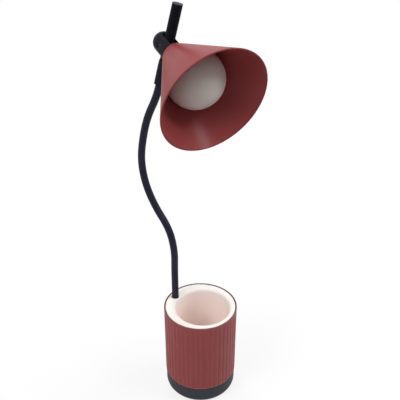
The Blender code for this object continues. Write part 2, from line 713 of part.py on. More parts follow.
def battery_cradle(mat):
    """Trough that holds the cell on the counterweight."""
    half = CRADLE_LENGTH / 2
    outer = CRADLE_HALF_WIDTH
    high = CRADLE_Z + CRADLE_HEIGHT_SHARE * (CELL_Z - CRADLE_Z)
    low = (-half, CELL_Y - outer, CRADLE_Z)
    cradle = place("battery_cradle", block("battery_cradle", low, (half, CELL_Y + outer, high)), mat)
    end = half + CUT_OVERRUN
    trough = rod("cradle_trough", CELL_RADIUS + SEAT_GAP, -end, end, 2 * SMALL_SIDES)
    combine(cradle, guide("cradle_trough", trough, matrix=at(0, CELL_Y, CELL_Z) @ ALONG_X), "DIFFERENCE")
    return cradle


def control_board(mat):
    """Board on its two posts, with the posts' screw holes."""
    half = BOARD_WIDTH / 2
    mesh = block("control_board", (-half, BOARD_FRONT_Y, BOARD_Z), (half, BOARD_BACK_Y, BOARD_TOP))
    board = place("control_board", mesh, mat)
    for side in (-1, 1):
        name = f"board_hole_{'left' if side < 0 else 'right'}"
        radius = POST_SCREW_RADIUS + SCREW_PLAY
        hole = rod(name, radius, BOARD_Z - CUT_OVERRUN, BOARD_TOP + CUT_OVERRUN, TINY_SIDES)
        combine(board, guide(name, hole, matrix=at(side * POST_X, POST_Y)), "DIFFERENCE")
    return board


def board_screws(mat):
    """Two small screws that hold the board on its posts."""
    seat = BOARD_TOP + SEAT_GAP
    outline = [
        (0, BOARD_TOP - POST_SCREW_LENGTH + SEAT_GAP),
        (POST_SCREW_RADIUS, BOARD_TOP - POST_SCREW_LENGTH + SEAT_GAP),
        (POST_SCREW_RADIUS, seat),
        (POST_HEAD_RADIUS, seat),
        (POST_HEAD_RADIUS, seat + POST_HEAD_HEIGHT),
        (0, seat + POST_HEAD_HEIGHT),
    ]
    for side in (-1, 1):
        name = f"board_screw_{'left' if side < 0 else 'right'}"
        place(name, turned(name, outline, TINY_SIDES), mat, matrix=at(side * POST_X, POST_Y))


def charging_socket(mat):
    """Charging socket: a rounded metal mouth with its contact tongue."""
    front = BASE_TOP_RADIUS - SOCKET_INSET
    half = SOCKET_WIDTH / 2
    low = (-half, front - SOCKET_LENGTH, SOCKET_Z)
    high = (half, front, SOCKET_Z + SOCKET_HEIGHT)
    socket = place("charging_socket", rounded_bar("charging_socket", low, high, SOCKET_ROUND), mat)
    wall = SOCKET_WALL
    low = (-half + wall, front - SOCKET_DEPTH, SOCKET_Z + wall)
    high = (half - wall, front + CUT_OVERRUN, SOCKET_Z + SOCKET_HEIGHT - wall)
    mouth = guide("socket_mouth", rounded_bar("socket_mouth", low, high, SOCKET_ROUND - wall))
    combine(socket, mouth, "DIFFERENCE")
    middle = SOCKET_Z + SOCKET_HEIGHT / 2
    low = (-half / 2 - wall, front - SOCKET_DEPTH - wall, middle - SOCKET_TONGUE / 2)
    high = (half / 2 + wall, front - wall, middle + SOCKET_TONGUE / 2)
    combine(socket, guide("socket_tongue", block("socket_tongue", low, high)), "UNION")
    return socket


def button_line():
    """Frame whose Z axis is the line that the button slides on."""
    return Matrix.Rotation(math.radians(BUTTON_TURN_DEG), 4, "Z") @ at(0, 0, BUTTON_Z) @ ALONG_Y


def switch_body(mat):
    """Push switch on the board, behind the button."""
    half = SWITCH_SIZE / 2
    front = BUTTON_BACK - BUTTON_TRAVEL - SWITCH_SLACK
    drop = BUTTON_Z - BOARD_TOP - SEAT_GAP
    mesh = block("switch_body", (-half, -half, front - SWITCH_DEPTH), (half, drop, front))
    return place("switch_body", mesh, mat, matrix=button_line())


def power_button(mat):
    """Round button with the flange that keeps it in the wall."""
    flange_front = BUTTON_BACK + BUTTON_FLANGE
    outline = [
        (0, BUTTON_BACK),
        (BUTTON_FLANGE_RADIUS, BUTTON_BACK),
        (BUTTON_FLANGE_RADIUS, flange_front),
        (BUTTON_RADIUS, flange_front),
    ]
    outline += arc(BUTTON_RADIUS - BUTTON_ROUND, BUTTON_FRONT - BUTTON_ROUND, BUTTON_ROUND, 0, 90, 2)
    outline += [(0, BUTTON_FRONT)]
    slide = empty("button_slide", None, button_line())
    return place("power_button", turned("power_button", outline, SMALL_SIDES), mat, slide)


# Neck
def bend_vector(index):
    """Turn of one link about its own X and Y axes."""
    return Vector((math.radians(NECK_SIDE_DEG[index]), math.radians(NECK_BEND_DEG[index]), 0))


def bent_frame(turn, length, share):
    """Frame at a share of the way along a link that bends evenly."""
    angle = turn.length
    axis = turn.normalized()
    up = Vector((0, 0, 1))
    swept = angle * share
    reach = length / angle
    place_on_arc = reach * (math.sin(swept) * up + (1 - math.cos(swept)) * axis.cross(up))
    return Matrix.Translation(place_on_arc) @ Matrix.Rotation(swept, 4, axis)


def level_ring(frame, radius, height, sides=NECK_SIDES):
    """Ring of points square to a frame's Z axis."""
    points = []
    for i in range(sides):
        angle = math.tau * i / sides
        points.append(frame @ Vector((radius * math.cos(angle), radius * math.sin(angle), height)))
    return points


def ball_rings(frame, radius, angles_deg, sides=NECK_SIDES):
    """Rings on a ball at a frame's origin, by their angle from its Z axis."""
    rings = []
    for angle in angles_deg:
        a = math.radians(angle)
        rings.append(level_ring(frame, radius * math.sin(a), radius * math.cos(a), sides))
    return rings


def socket_rings(outer, sides=NECK_SIDES):
    """Lower end of a link or sleeve: a half-round socket inside a flat rim."""
    start = Matrix.Identity(4)
    rings = ball_rings(start, BALL_RADIUS + BALL_PLAY, (18, 54, 90), sides)
    rings.append(level_ring(start, outer, 0, sides))
    return rings


def link_rings(index):
    """Rings of one link, from its socket or spigot along the bend to its ball."""
    turn = bend_vector(index)
    reach = (NECK_LINK - BALL_SHOULDER) / NECK_LINK
    if index == 0:
        start = Matrix.Identity(4)
        seat = -BOSS_DEPTH - SEAT_GAP
        rings = [
            level_ring(start, NECK_SPIGOT_RADIUS, seat - NECK_SPIGOT_LENGTH),
            level_ring(start, NECK_SPIGOT_RADIUS, seat + SEAT_GAP),
            level_ring(start, NECK_RADIUS, seat + SEAT_GAP),
            level_ring(start, NECK_RADIUS, 0),
        ]
    else:
        rings = socket_rings(NECK_RADIUS)
    for i in range(1, NECK_STATIONS + 1):
        rings.append(level_ring(bent_frame(turn, NECK_LINK, reach * i / NECK_STATIONS), NECK_RADIUS, 0))
    rings.append(level_ring(bent_frame(turn, NECK_LINK, reach), BALL_STEM_RADIUS, 0))
    rings += ball_rings(bent_frame(turn, NECK_LINK, 1), BALL_RADIUS, (118, 90, 54, 18))
    return rings


def gooseneck(mat):
    """Links of the neck, each on the frame of the ball below it. Returns the frame of the last ball."""
    start = at(NECK_X, NECK_Y, CUP_HEIGHT) @ Matrix.Rotation(math.radians(NECK_TURN_DEG), 4, "Z")
    frame = empty("neck_root", None, start)
    for index in range(len(NECK_BEND_DEG)):
        name = f"gooseneck_link_{index + 1:02d}"
        place(name, skin(name, link_rings(index)), mat, frame)
        frame = empty(f"neck_joint_{index + 1:02d}", frame, bent_frame(bend_vector(index), NECK_LINK, 1))
    return frame


def neck_collar(mat):
    """Keyed collar under the neck boss, flat where it meets the well's wall."""
    top = CUP_HEIGHT - BOSS_DEPTH - SEAT_GAP
    low = top - COLLAR_HEIGHT
    inward = math.atan2(-NECK_Y, -NECK_X)
    matrix = at(NECK_X, NECK_Y) @ Matrix.Rotation(inward, 4, "Z")
    mesh = ring("neck_collar", NECK_SPIGOT_RADIUS + SEAT_GAP, COLLAR_RADIUS, low, top)
    collar = place("neck_collar", mesh, mat, matrix=matrix)
    wide = COLLAR_RADIUS + CUT_OVERRUN
    flat = block("collar_flat", (COLLAR_FLAT, -wide, low - CUT_OVERRUN), (wide, wide, top + CUT_OVERRUN))
    combine(collar, guide("collar_flat", flat, matrix=matrix), "DIFFERENCE")
    hole = rod("collar_grub_hole", GRUB_RADIUS + SEAT_GAP, 0, wide, TINY_SIDES)
    side = matrix @ at(0, 0, (low + top) / 2) @ ALONG_Y
    combine(collar, guide("collar_grub_hole", hole, matrix=side), "DIFFERENCE")
    grub_low = NECK_SPIGOT_RADIUS + SEAT_GAP
    grub = rod("neck_grub_screw", GRUB_RADIUS, grub_low, grub_low + GRUB_LENGTH, TINY_SIDES)
    place("neck_grub_screw", grub, mat, matrix=side)
    return collar


# Arm
def arm_sleeve(mat, wrist):
    """Sleeve at the end of the neck: a skirt over the last ball, a socket and a bore for the tube."""
    top = PIVOT_HEIGHT - SLEEVE_STOP
    rings = socket_rings(SLEEVE_SKIRT_RADIUS, ARM_SIDES)
    start = Matrix.Identity(4)
    bore = TUBE_RADIUS + SEAT_GAP / 2
    for radius, height in (
        (SLEEVE_MOUTH_RADIUS, -SLEEVE_SKIRT),
        (SLEEVE_RADIUS - SLEEVE_CHAMFER / 2, -SLEEVE_SKIRT),
        (SLEEVE_RADIUS, SLEEVE_CHAMFER - SLEEVE_SKIRT),
        (SLEEVE_RADIUS, top - SLEEVE_TAPER),
        (SLEEVE_RADIUS - SLEEVE_TAPER_DROP, top),
        (bore, top),
        (bore, top - TUBE_SEAT_DEPTH),
    ):
        rings.append(level_ring(start, radius, height, ARM_SIDES))
    return place("arm_sleeve", skin("arm_sleeve", rings), mat, wrist)


def arm_tube(mat, pivot):
    """Straight tube through the hub, drilled for the pivot screw."""
    low = -SLEEVE_STOP - TUBE_SEAT_DEPTH + SEAT_GAP
    inner = TUBE_RADIUS - TUBE_WALL
    tube = place("arm_tube", ring("arm_tube", inner, TUBE_RADIUS, low, TUBE_TOP, ARM_SIDES), mat, pivot)
    wide = TUBE_RADIUS + CUT_OVERRUN
    hole = rod("tube_pin_hole", PIN_RADIUS + SEAT_GAP, -wide, wide, TINY_SIDES)
    combine(tube, guide("tube_pin_hole", hole, pivot, ALONG_Y), "DIFFERENCE")
    return tube


def tube_plug(mat, pivot):
    """Plug that closes the tube's upper end."""
    stem = TUBE_RADIUS - TUBE_WALL - SEAT_GAP
    seat = TUBE_TOP + SEAT_GAP
    outline = [
        (0, seat - PLUG_DEPTH),
        (stem, seat - PLUG_DEPTH),
        (stem, seat),
        (TUBE_RADIUS, seat),
        (TUBE_RADIUS, seat + PLUG_LIP / 2),
        (TUBE_RADIUS - PLUG_LIP / 2, seat + PLUG_LIP),
        (0, seat + PLUG_LIP),
    ]
    return place("tube_plug", turned("tube_plug", outline, ARM_SIDES), mat, pivot)


# Head
def slot_outline():
    """Hourglass that the tube sweeps as the hub tilts."""
    end = HUB_RADIUS + CUT_OVERRUN
    wide = SLOT_WAIST + end * math.tan(SLOT_LEAN)
    return [(end, wide), (0, SLOT_WAIST), (-end, wide), (-end, -wide), (0, -SLOT_WAIST), (end, -wide)]


def hub(mat, head):
    """Domed hub: slotted for the tube, bored for the pivot screw, with a threaded nipple in front."""
    nipple_end = HUB_FRONT_Z + NIPPLE_LENGTH
    outline = arc(0, HUB_DOME_Z, HUB_RADIUS, -90, 0, 6)
    outline[0] = (0, HUB_DOME_Z - HUB_RADIUS)
    outline += [
        (HUB_RADIUS, HUB_FRONT_Z - HUB_CHAMFER),
        (HUB_RADIUS - HUB_CHAMFER, HUB_FRONT_Z),
        (NIPPLE_RADIUS, HUB_FRONT_Z),
        (NIPPLE_RADIUS, nipple_end),
        (HUB_BORE, nipple_end),
        (HUB_BORE, 0),
        (0, 0),
    ]
    piece = place("hub", turned("hub", outline, HUB_SIDES), mat, head)
    half = TUBE_RADIUS + SLOT_SIDE_PLAY
    lean = math.radians(HEAD_ANGLE_DEG + 90 + (HEAD_UP_DEG - HEAD_DOWN_DEG) / 2)
    turn = Matrix.Rotation(-lean, 4, "Y")
    slot = prism("hub_slot", slot_outline(), -half, half)
    combine(piece, guide("hub_slot", slot, head, turn), "DIFFERENCE")
    seat = HUB_RADIUS - PIN_INSET - PIN_HEAD_HEIGHT - SEAT_GAP
    wide = HUB_RADIUS + CUT_OVERRUN
    outline = [
        (0, -wide),
        (NUT_RADIUS + SEAT_GAP, -wide),
        (NUT_RADIUS + SEAT_GAP, -seat),
        (PIN_RADIUS + SEAT_GAP, -seat),
        (PIN_RADIUS + SEAT_GAP, seat),
        (PIN_HEAD_RADIUS + SEAT_GAP, seat),
        (PIN_HEAD_RADIUS + SEAT_GAP, wide),
        (0, wide),
    ]
    hole = turned("hub_pin_hole", outline, SMALL_SIDES)
    combine(piece, guide("hub_pin_hole", hole, head, ALONG_Y), "DIFFERENCE")
    return piece


def pivot_screw(mat, head):
    """Screw that the hub tilts on, through both cheeks and the tube."""
    seat = HUB_RADIUS - PIN_INSET - PIN_HEAD_HEIGHT
    outline = [
        (0, -seat - NUT_HEIGHT),
        (PIN_RADIUS, -seat - NUT_HEIGHT),
        (PIN_RADIUS, seat),
        (PIN_HEAD_RADIUS, seat),
        (PIN_HEAD_RADIUS, seat + PIN_HEAD_HEIGHT / 2),
        (PIN_RADIUS, seat + PIN_HEAD_HEIGHT),
        (0, seat + PIN_HEAD_HEIGHT),
    ]
    return place("pivot_screw", turned("pivot_screw", outline, SMALL_SIDES), mat, head, ALONG_Y)


def pivot_nut(mat, head):
    """Six-sided nut on the pivot screw."""
    seat = HUB_RADIUS - PIN_INSET - PIN_HEAD_HEIGHT
    mesh = ring("pivot_nut", PIN_RADIUS + SEAT_GAP, NUT_RADIUS, -seat - NUT_HEIGHT, -seat, 6)
    return place("pivot_nut", mesh, mat, head, ALONG_Y)


def shade_radius(z):
    """Outer radius of the cone at a distance along the shade's axis."""
    return (z - SHADE_APEX_Z) * SHADE_SLOPE


def shade_shoulder(inset):
    """Round between the flat back and the cone, drawn in by the wall where asked."""
    size = SHADE_SHOULDER - inset
    end = -math.degrees(SHADE_ANGLE)
    return arc(SHOULDER_RADIUS, SHOULDER_Z, size, -90, end, SHADE_SHOULDER_STEPS)


def lampshade(mat, head):
    """Cone shade of even wall with a rounded shoulder and a rounded lip."""
    hole = NIPPLE_RADIUS + SEAT_GAP
    lip = SHADE_WALL / 2
    outline = [(hole, SHADE_BACK_Z)]
    outline += shade_shoulder(0)
    outline += [
        (shade_radius(SHADE_MOUTH_Z - lip), SHADE_MOUTH_Z - lip),
        (SHADE_MOUTH_RADIUS - SHADE_ACROSS / 2, SHADE_MOUTH_Z),
        (shade_radius(SHADE_MOUTH_Z - lip) - SHADE_ACROSS, SHADE_MOUTH_Z - lip),
    ]
    outline += shade_shoulder(SHADE_WALL)[::-1]
    outline += [(hole, SHADE_BACK_Z + SHADE_WALL)]
    return place("lampshade", turned("lampshade", outline, SHADE_SIDES), mat, head, smooth_deg=50)


def shade_ring(mat, head):
    """Ring nut that draws the shade against the hub."""
    low = SHADE_BACK_Z + SHADE_WALL + SEAT_GAP
    mesh = ring("shade_ring", NIPPLE_RADIUS + SEAT_GAP, RING_RADIUS, low, low + RING_THICKNESS)
    return place("shade_ring", mesh, mat, head)


def lamp_holder(mat, head):
    """Holder on the nipple, flared into the seat of the light board and globe."""
    ring_top = SHADE_BACK_Z + SHADE_WALL + SEAT_GAP + RING_THICKNESS
    low = ring_top + SEAT_GAP
    bore = NIPPLE_RADIUS + SEAT_GAP
    seat = HUB_FRONT_Z + NIPPLE_LENGTH + SEAT_GAP
    flange_top = HOLDER_FLANGE_Z + HOLDER_FLANGE_THICKNESS
    top = flange_top + HOLDER_SPIGOT_HEIGHT
    recess = top - HOLDER_RECESS_DEPTH
    flare = HOLDER_FLANGE_RADIUS - HOLDER_NECK_RADIUS
    outline = [
        (bore, low),
        (HOLDER_NECK_RADIUS, low),
        (HOLDER_NECK_RADIUS, HOLDER_FLANGE_Z - flare / 2),
        (HOLDER_FLANGE_RADIUS, HOLDER_FLANGE_Z),
        (HOLDER_FLANGE_RADIUS, flange_top),
        (HOLDER_SPIGOT_RADIUS, flange_top),
        (HOLDER_SPIGOT_RADIUS, top),
        (HOLDER_RECESS_RADIUS, top),
        (HOLDER_RECESS_RADIUS, recess),
        (HUB_BORE, recess),
        (HUB_BORE, seat),
        (bore, seat),
    ]
    return place("lamp_holder", turned("lamp_holder", outline, GLOBE_SIDES), mat, head)


def light_board(mat, head):
    """Round board in the holder's recess, with a chip in the middle and a circle of them round it."""
    holder_top = HOLDER_FLANGE_Z + HOLDER_FLANGE_THICKNESS + HOLDER_SPIGOT_HEIGHT
    low = holder_top - HOLDER_RECESS_DEPTH + SEAT_GAP
    top = low + LIGHT_BOARD_THICKNESS
    board = place("light_board", rod("light_board", LIGHT_BOARD_RADIUS, low, top), mat, head)
    half = CHIP_SIZE / 2
    angles = [360 * i / CHIP_COUNT for i in range(CHIP_COUNT)]
    for i, (x, y) in enumerate([(0, 0)] + around(CHIP_CIRCLE, angles)):
        name = f"light_chip_{i + 1}"
        chip = block(name, (-half, -half, top - WELD_DEPTH), (half, half, top + CHIP_HEIGHT))
        combine(board, guide(name, chip, head, at(x, y)), "UNION")
    return board


def globe(mat, head):
    """Milky globe, open at the back where it seats on the holder."""
    inner = GLOBE_RADIUS - GLOBE_WALL
    outer_start = math.degrees(math.asin((GLOBE_SEAT_Z - GLOBE_Z) / GLOBE_RADIUS))
    inner_start = math.degrees(math.asin((GLOBE_SEAT_Z - GLOBE_Z) / inner))
    outline = arc(0, GLOBE_Z, GLOBE_RADIUS, outer_start, 90, GLOBE_STEPS)
    outline[-1] = (0, GLOBE_Z + GLOBE_RADIUS)
    inside = arc(0, GLOBE_Z, inner, 90, inner_start, GLOBE_STEPS)
    inside[0] = (0, GLOBE_Z + inner)
    return place("globe", half_loop("globe", outline, inside), mat, head, smooth_deg=60)


def half_loop(name, outside, inside):
    """Shell turned from an outer and an inner outline that both end on the axis."""
    bm = bmesh.new()
    points = [(radius, 0, height) for radius, height in outside]
    hollow = [(radius, 0, height) for radius, height in inside]
    outer = [bm.verts.new(point) for point in points]
    inner = [bm.verts.new(point) for point in hollow]
    edges = [bm.edges.new(pair) for pair in zip(outer, outer[1:])]
    edges += [bm.edges.new(pair) for pair in zip(inner, inner[1:])]
    edges.append(bm.edges.new((inner[-1], outer[0])))
    bmesh.ops.spin(
        bm,
        geom=outer + inner + edges,
        axis=(0, 0, 1),
        cent=(0, 0, 0),
        angle=math.tau,
        steps=GLOBE_SIDES,
        use_merge=True,
    )
    return finish_mesh(bm, name)


def build():
    """Model the whole lamp."""
    clear_scene()
    maroon = material("maroon_plastic", (0.27, 0.055, 0.055), 0.55)
    shade_red = material("shade_red", (0.27, 0.05, 0.05), 0.42)
    white = material("white_plastic", (0.86, 0.80, 0.78), 0.35)
    charcoal = material("charcoal_plastic", (0.030, 0.032, 0.038), 0.45)
    black_paint = material("black_paint", (0.030, 0.031, 0.038), 0.42)
    rubber = material("black_rubber", (0.02, 0.02, 0.02), 0.80)
    silicone = material("neck_silicone", (0.020, 0.022, 0.030), 0.50)
    steel = material("steel", (0.55, 0.55, 0.56), 0.35, 1.0)
    black_steel = material("black_steel", (0.045, 0.047, 0.055), 0.40, 1.0)
    blue = material("cell_wrap", (0.05, 0.16, 0.42), 0.40)
    green = material("board_green", (0.02, 0.16, 0.07), 0.45)
    milk = material("milky_plastic", (0.80, 0.78, 0.75), 0.30)

    ribbed_shell(maroon)
    cup_liner(white)
    base_cap(charcoal)
    foot_pad(rubber)
    counterweight(steel)
    base_screws(steel)
    battery_cell(blue)
    battery_cradle(charcoal)
    control_board(green)
    board_screws(steel)
    charging_socket(steel)
    switch_body(charcoal)
    power_button(charcoal)

    wrist = gooseneck(silicone)
    neck_collar(steel)
    arm_turn = Matrix.Rotation(math.radians(ARM_TURN_DEG), 4, "Z")
    pivot = empty("arm_pivot", wrist, at(0, 0, PIVOT_HEIGHT) @ arm_turn)
    arm_sleeve(black_paint, wrist)
    arm_tube(black_paint, pivot)
    tube_plug(charcoal, pivot)

    head = empty("head_pivot", pivot, Matrix.Rotation(math.radians(HEAD_ANGLE_DEG), 4, "Y"))
    hub(black_paint, head)
    pivot_screw(black_steel, head)
    pivot_nut(black_steel, head)
    lampshade(shade_red, head)
    shade_ring(charcoal, head)
    lamp_holder(white, head)
    light_board(white, head)
    globe(milk, head)
    bpy.context.view_layer.update()


build()
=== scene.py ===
"""Looks of the desk lamp with pen holder: finer forms, finishes, light and camera.

Metres, +Z up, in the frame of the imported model.
"""
import math

import bmesh
import bpy
from mathutils import Matrix, Vector


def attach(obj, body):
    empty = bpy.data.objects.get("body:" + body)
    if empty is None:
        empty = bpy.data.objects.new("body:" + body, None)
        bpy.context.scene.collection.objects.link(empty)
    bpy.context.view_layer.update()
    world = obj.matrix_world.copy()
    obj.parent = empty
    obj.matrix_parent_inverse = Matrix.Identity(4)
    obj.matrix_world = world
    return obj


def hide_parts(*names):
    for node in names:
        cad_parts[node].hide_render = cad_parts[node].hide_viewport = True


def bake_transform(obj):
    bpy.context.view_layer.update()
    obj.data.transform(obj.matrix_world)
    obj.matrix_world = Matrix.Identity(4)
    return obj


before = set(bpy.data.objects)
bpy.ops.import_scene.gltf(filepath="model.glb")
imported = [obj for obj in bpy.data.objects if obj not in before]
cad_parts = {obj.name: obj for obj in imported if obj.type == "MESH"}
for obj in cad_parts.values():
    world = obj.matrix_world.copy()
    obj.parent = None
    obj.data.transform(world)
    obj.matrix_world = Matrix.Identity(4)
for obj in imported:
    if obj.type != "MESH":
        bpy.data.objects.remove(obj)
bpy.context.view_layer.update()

# Cup
RIM_Z = 0.1180
FLUTES = 45
FLUTE_DEPTH = 0.0006
# Half the width of the land between two hollows, as a share of one flute
FLUTE_LAND = 0.18
POINTS_PER_FLUTE = 14
# Painted shade: rings below the first height, and rings above the second inside the radius, take the dark
# edge tone
SHADED_FOOT_Z = 0.02523
SHADED_LIP_Z = 0.1179
SHADED_LIP_RADIUS = 0.0422
LINER_SIDES = 144

# Pen well, set off from the cup's axis
WELL_OFFSET = 0.0032
WELL_RADIUS = 0.0315
WELL_WALL = 0.0016
WELL_FLOOR_Z = 0.0460
WELL_UNDER_Z = 0.0440
WELL_MOUTH = 0.0040
WELL_CORNER = 0.0030
PLATE_EDGE_RADIUS = 0.0396
PLATE_EDGE_ROUND = 0.0014
PLATE_UNDER_Z = 0.1150
# Painted bounce light: the well's wall turns pinker from one height and is full this far below it
PAINTED_BOUNCE_START_Z = 0.1172
PAINTED_BOUNCE_SPAN = 0.012

# Screws under the cup
SCREW_CIRCLE = 0.022
SCREW_ANGLES = (30, 150, 270)
SCREW_WELL = 0.0031
SCREW_WELL_TOP = 0.0122
SCREW_BORE = 0.0017
PILLAR_RADIUS = 0.0035
SMALL_ROUND = 0.0003

# Base
BASE_TOP_Z = 0.0244
SPIGOT_TOP_Z = 0.0310
SPIGOT_RADIUS = 0.0397
BUTTON_Z = 0.0180
BUTTON_TURN = -18
BUTTON_BACK = 0.0361
POST_SPOT = (0.010, 0.017)

# Neck: where it leaves the rim, and how each length of it is bent and leans
NECK_SPOT = Vector((-0.0298, 0.0169, 0))
NECK_TURN = -45
NECK_RADIUS = 0.0040
NECK_BORE = 0.0043
NECK_SIDES = 32
NECK_STATIONS = 20
LINK = 0.0281
LINK_COUNT = 10
BEND = (4, 2, -17, -32, 15, 19, 20, 6, 10, -18)
SIDE = (4, 0, 1, 1, -1.5, -2.5, -2, -2, -5, -4)

# Arm and hub
WRIST_TO_PIVOT = 0.0366
ARM_TURN = 167.5
HEAD_ANGLE = -100.9
TUBE_RADIUS = 0.0052
TUBE_BORE = 0.0042
TUBE_ENDS = (-0.0252, 0.0416)
HUB_RADIUS = 0.0107
HUB_DOME_Z = -0.0085
SLOT_LEAN = math.radians(18)
TILT_MIDDLE = 11
SLOT_WAIST = 0.0055
SLOT_REACH = 0.0147
SLOT_HALF_WIDTH = 0.0056
PIN_RADIUS = 0.0015
PIN_BORE = 0.0018
PIN_INSET = 0.0006
PIN_HEAD = 0.0016

# Shade and globe
SHADE_APEX_Z = -0.0102
SHADE_BACK_Z = 0.0105
SHADE_MOUTH_Z = 0.0914
SHADE_MOUTH_RADIUS = 0.0556
SHADE_WALL = 0.0015
SHADE_SHOULDER = 0.0040
SHADE_STATIONS = (0.020, 0.030, 0.042, 0.055, 0.068, 0.080, 0.0887, 0.0900)
GLOBE_Z = 0.0538
GLOBE_SEAT_Z = 0.0360
GLOBE_RADIUS = 0.0286
GLOBE_INNER = 0.0274

# A point of an outline this near to the axis closes the body there
ON_AXIS = 1e-7


# Frames of the neck, arm and head
def rot(deg, axis):
    return Matrix.Rotation(math.radians(deg), 4, axis)


def move(x, y, z):
    return Matrix.Translation((x, y, z))


def bent(index, share):
    """Frame at a share of the way along a neck length that bends evenly."""
    turn = Vector((math.radians(SIDE[index]), math.radians(BEND[index]), 0))
    angle, axis, up = turn.length, turn.normalized(), Vector((0, 0, 1))
    swept, reach = angle * share, LINK / angle
    spot = reach * (math.sin(swept) * up + (1 - math.cos(swept)) * axis.cross(up))
    return Matrix.Translation(spot) @ Matrix.Rotation(swept, 4, axis)


links = [move(NECK_SPOT.x, NECK_SPOT.y, RIM_Z) @ rot(NECK_TURN, "Z")]
for i in range(LINK_COUNT):
    links.append(links[-1] @ bent(i, 1))
WRIST = links[LINK_COUNT]
PIVOT = WRIST @ move(0, 0, WRIST_TO_PIVOT) @ rot(ARM_TURN, "Z")
HEAD = PIVOT @ rot(HEAD_ANGLE, "Y")
ALONG_Y = rot(-90, "X")
BUTTON = rot(BUTTON_TURN, "Z") @ move(0, 0, BUTTON_Z) @ ALONG_Y
WELL = -NECK_SPOT.normalized() * WELL_OFFSET


# Outlines of (radius, height, wear) points; wear is the share of a tone that is rubbing on most finishes,
# painted light on some
def eased(points, steps=4, closed=False):
    """Outline through (radius, height[, round]) points, with the corners that give a round eased."""
    out = []
    count = len(points)
    for i, point in enumerate(points):
        size = point[2] if len(point) > 2 else 0
        here = Vector(point[:2])
        if size <= 0 or (not closed and i in (0, count - 1)):
            out.append((here.x, here.y, 0.0))
            continue
        before = Vector(points[i - 1][:2]) - here
        after = Vector(points[(i + 1) % count][:2]) - here
        half = before.angle(after) / 2
        reach = min(size / math.tan(half), before.length * 0.49, after.length * 0.49)
        start = here + before.normalized() * reach
        end = here + after.normalized() * reach
        size = reach * math.tan(half)
        centre = here + (before.normalized() + after.normalized()).normalized() * (size / math.sin(half))
        a, b = start - centre, end - centre
        whole = a.angle_signed(b)
        for k in range(steps + 1):
            t = k / steps
            c, s = math.cos(-whole * t), math.sin(-whole * t)
            spot = centre + Vector((a.x * c - a.y * s, a.x * s + a.y * c))
            out.append((spot.x, spot.y, math.sin(math.pi * t)))
    return out


def arc(radius, height, size, start, end, steps, wear_and_painted_light=0.0):
    """Outline of a round about (radius, height), its share of the wear tone (rubbing, painted light on some
    finishes) largest in its middle.
    """
    out = []
    for i in range(steps + 1):
        a = math.radians(start + (end - start) * i / steps)
        worn_and_lit = wear_and_painted_light * math.sin(math.pi * i / steps)
        out.append((radius + size * math.cos(a), height + size * math.sin(a), worn_and_lit))
    return out


# Mesh helpers
def circle(radius, z, sides, centre=(0, 0)):
    """Points of a level circle."""
    return [Vector((centre[0] + radius * math.cos(math.tau * k / sides),
                    centre[1] + radius * math.sin(math.tau * k / sides), z)) for k in range(sides)]


def band(low, high):
    """Faces between two rings of vertex numbers, where a ring of one number is a point on the axis."""
    faces = []
    count = max(len(low), len(high))
    for k in range(count if count > 1 else 0):
        j = (k + 1) % count
        if len(low) == 1:
            faces.append((low[0], high[j], high[k]))
        elif len(high) == 1:
            faces.append((low[k], low[j], high[0]))
        else:
            faces.append((low[k], low[j], high[j], high[k]))
    return faces


def body_from(name, verts, faces, mat=None, sharp=38, attributes=None):
    """Object from points and faces, with its faces turned out."""
    mesh = bpy.data.meshes.new(name)
    mesh.from_pydata([tuple(v) for v in verts], [], faces)
    for key, values in (attributes or {}).items():
        layer = mesh.attributes.new(key, "FLOAT", "POINT")
        layer.data.foreach_set("value", values)
    bm = bmesh.new()
    bm.from_mesh(mesh)
    bmesh.ops.recalc_face_normals(bm, faces=bm.faces)
    bm.to_mesh(mesh)
    bm.free()
    mesh.shade_smooth()
    mesh.set_sharp_from_angle(angle=math.radians(sharp))
    piece = bpy.data.objects.new(name, mesh)
    bpy.context.scene.collection.objects.link(piece)
    if mat is not None:
        mesh.materials.append(mat)
    return piece


def lathe(name, outline, sides, mat=None, matrix=None, sharp=38):
    """Body turned about Z; an outline with both ends off the axis is closed into a loop."""
    matrix = matrix or Matrix.Identity(4)
    verts, wear_and_painted_light, rings = [], [], []
    for r, z, worn_and_lit in outline:
        points = circle(r, z, sides) if r > ON_AXIS else [Vector((0, 0, z))]
        rings.append(list(range(len(verts), len(verts) + len(points))))
        verts += [matrix @ point for point in points]
        wear_and_painted_light += [worn_and_lit] * len(points)
    pairs = list(zip(rings, rings[1:]))
    if outline[0][0] > ON_AXIS and outline[-1][0] > ON_AXIS:
        pairs.append((rings[-1], rings[0]))
    faces = [face for low, high in pairs for face in band(low, high)]
    return body_from(name, verts, faces, mat, sharp, {"wear_and_painted_light": wear_and_painted_light})


def loft(name, rings, mat, sharp=38, attributes=None, caps=True):
    """Body through rings of points, capped at both ends or joined into a loop."""
    count = len(rings[0])
    verts = [v for ring in rings for v in ring]
    rows = [tuple(range(k, k + count)) for k in range(0, len(verts), count)]
    pairs = list(zip(rows, rows[1:]))
    if not caps:
        pairs.append((rows[-1], rows[0]))
    faces = [face for low, high in pairs for face in band(low, high)]
    if caps:
        faces += [rows[0], rows[-1]]
    return body_from(name, verts, faces, mat, sharp, attributes)


def prism(name, outline, low, high, matrix):
    """Closed outline of (x, z) points drawn along Y."""
    verts = [matrix @ Vector((x, y, z)) for y in (low, high) for x, z in outline]
    n = len(outline)
    near, far = tuple(range(n)), tuple(range(n, 2 * n))
    return body_from(name, verts, band(near, far) + [near, far])


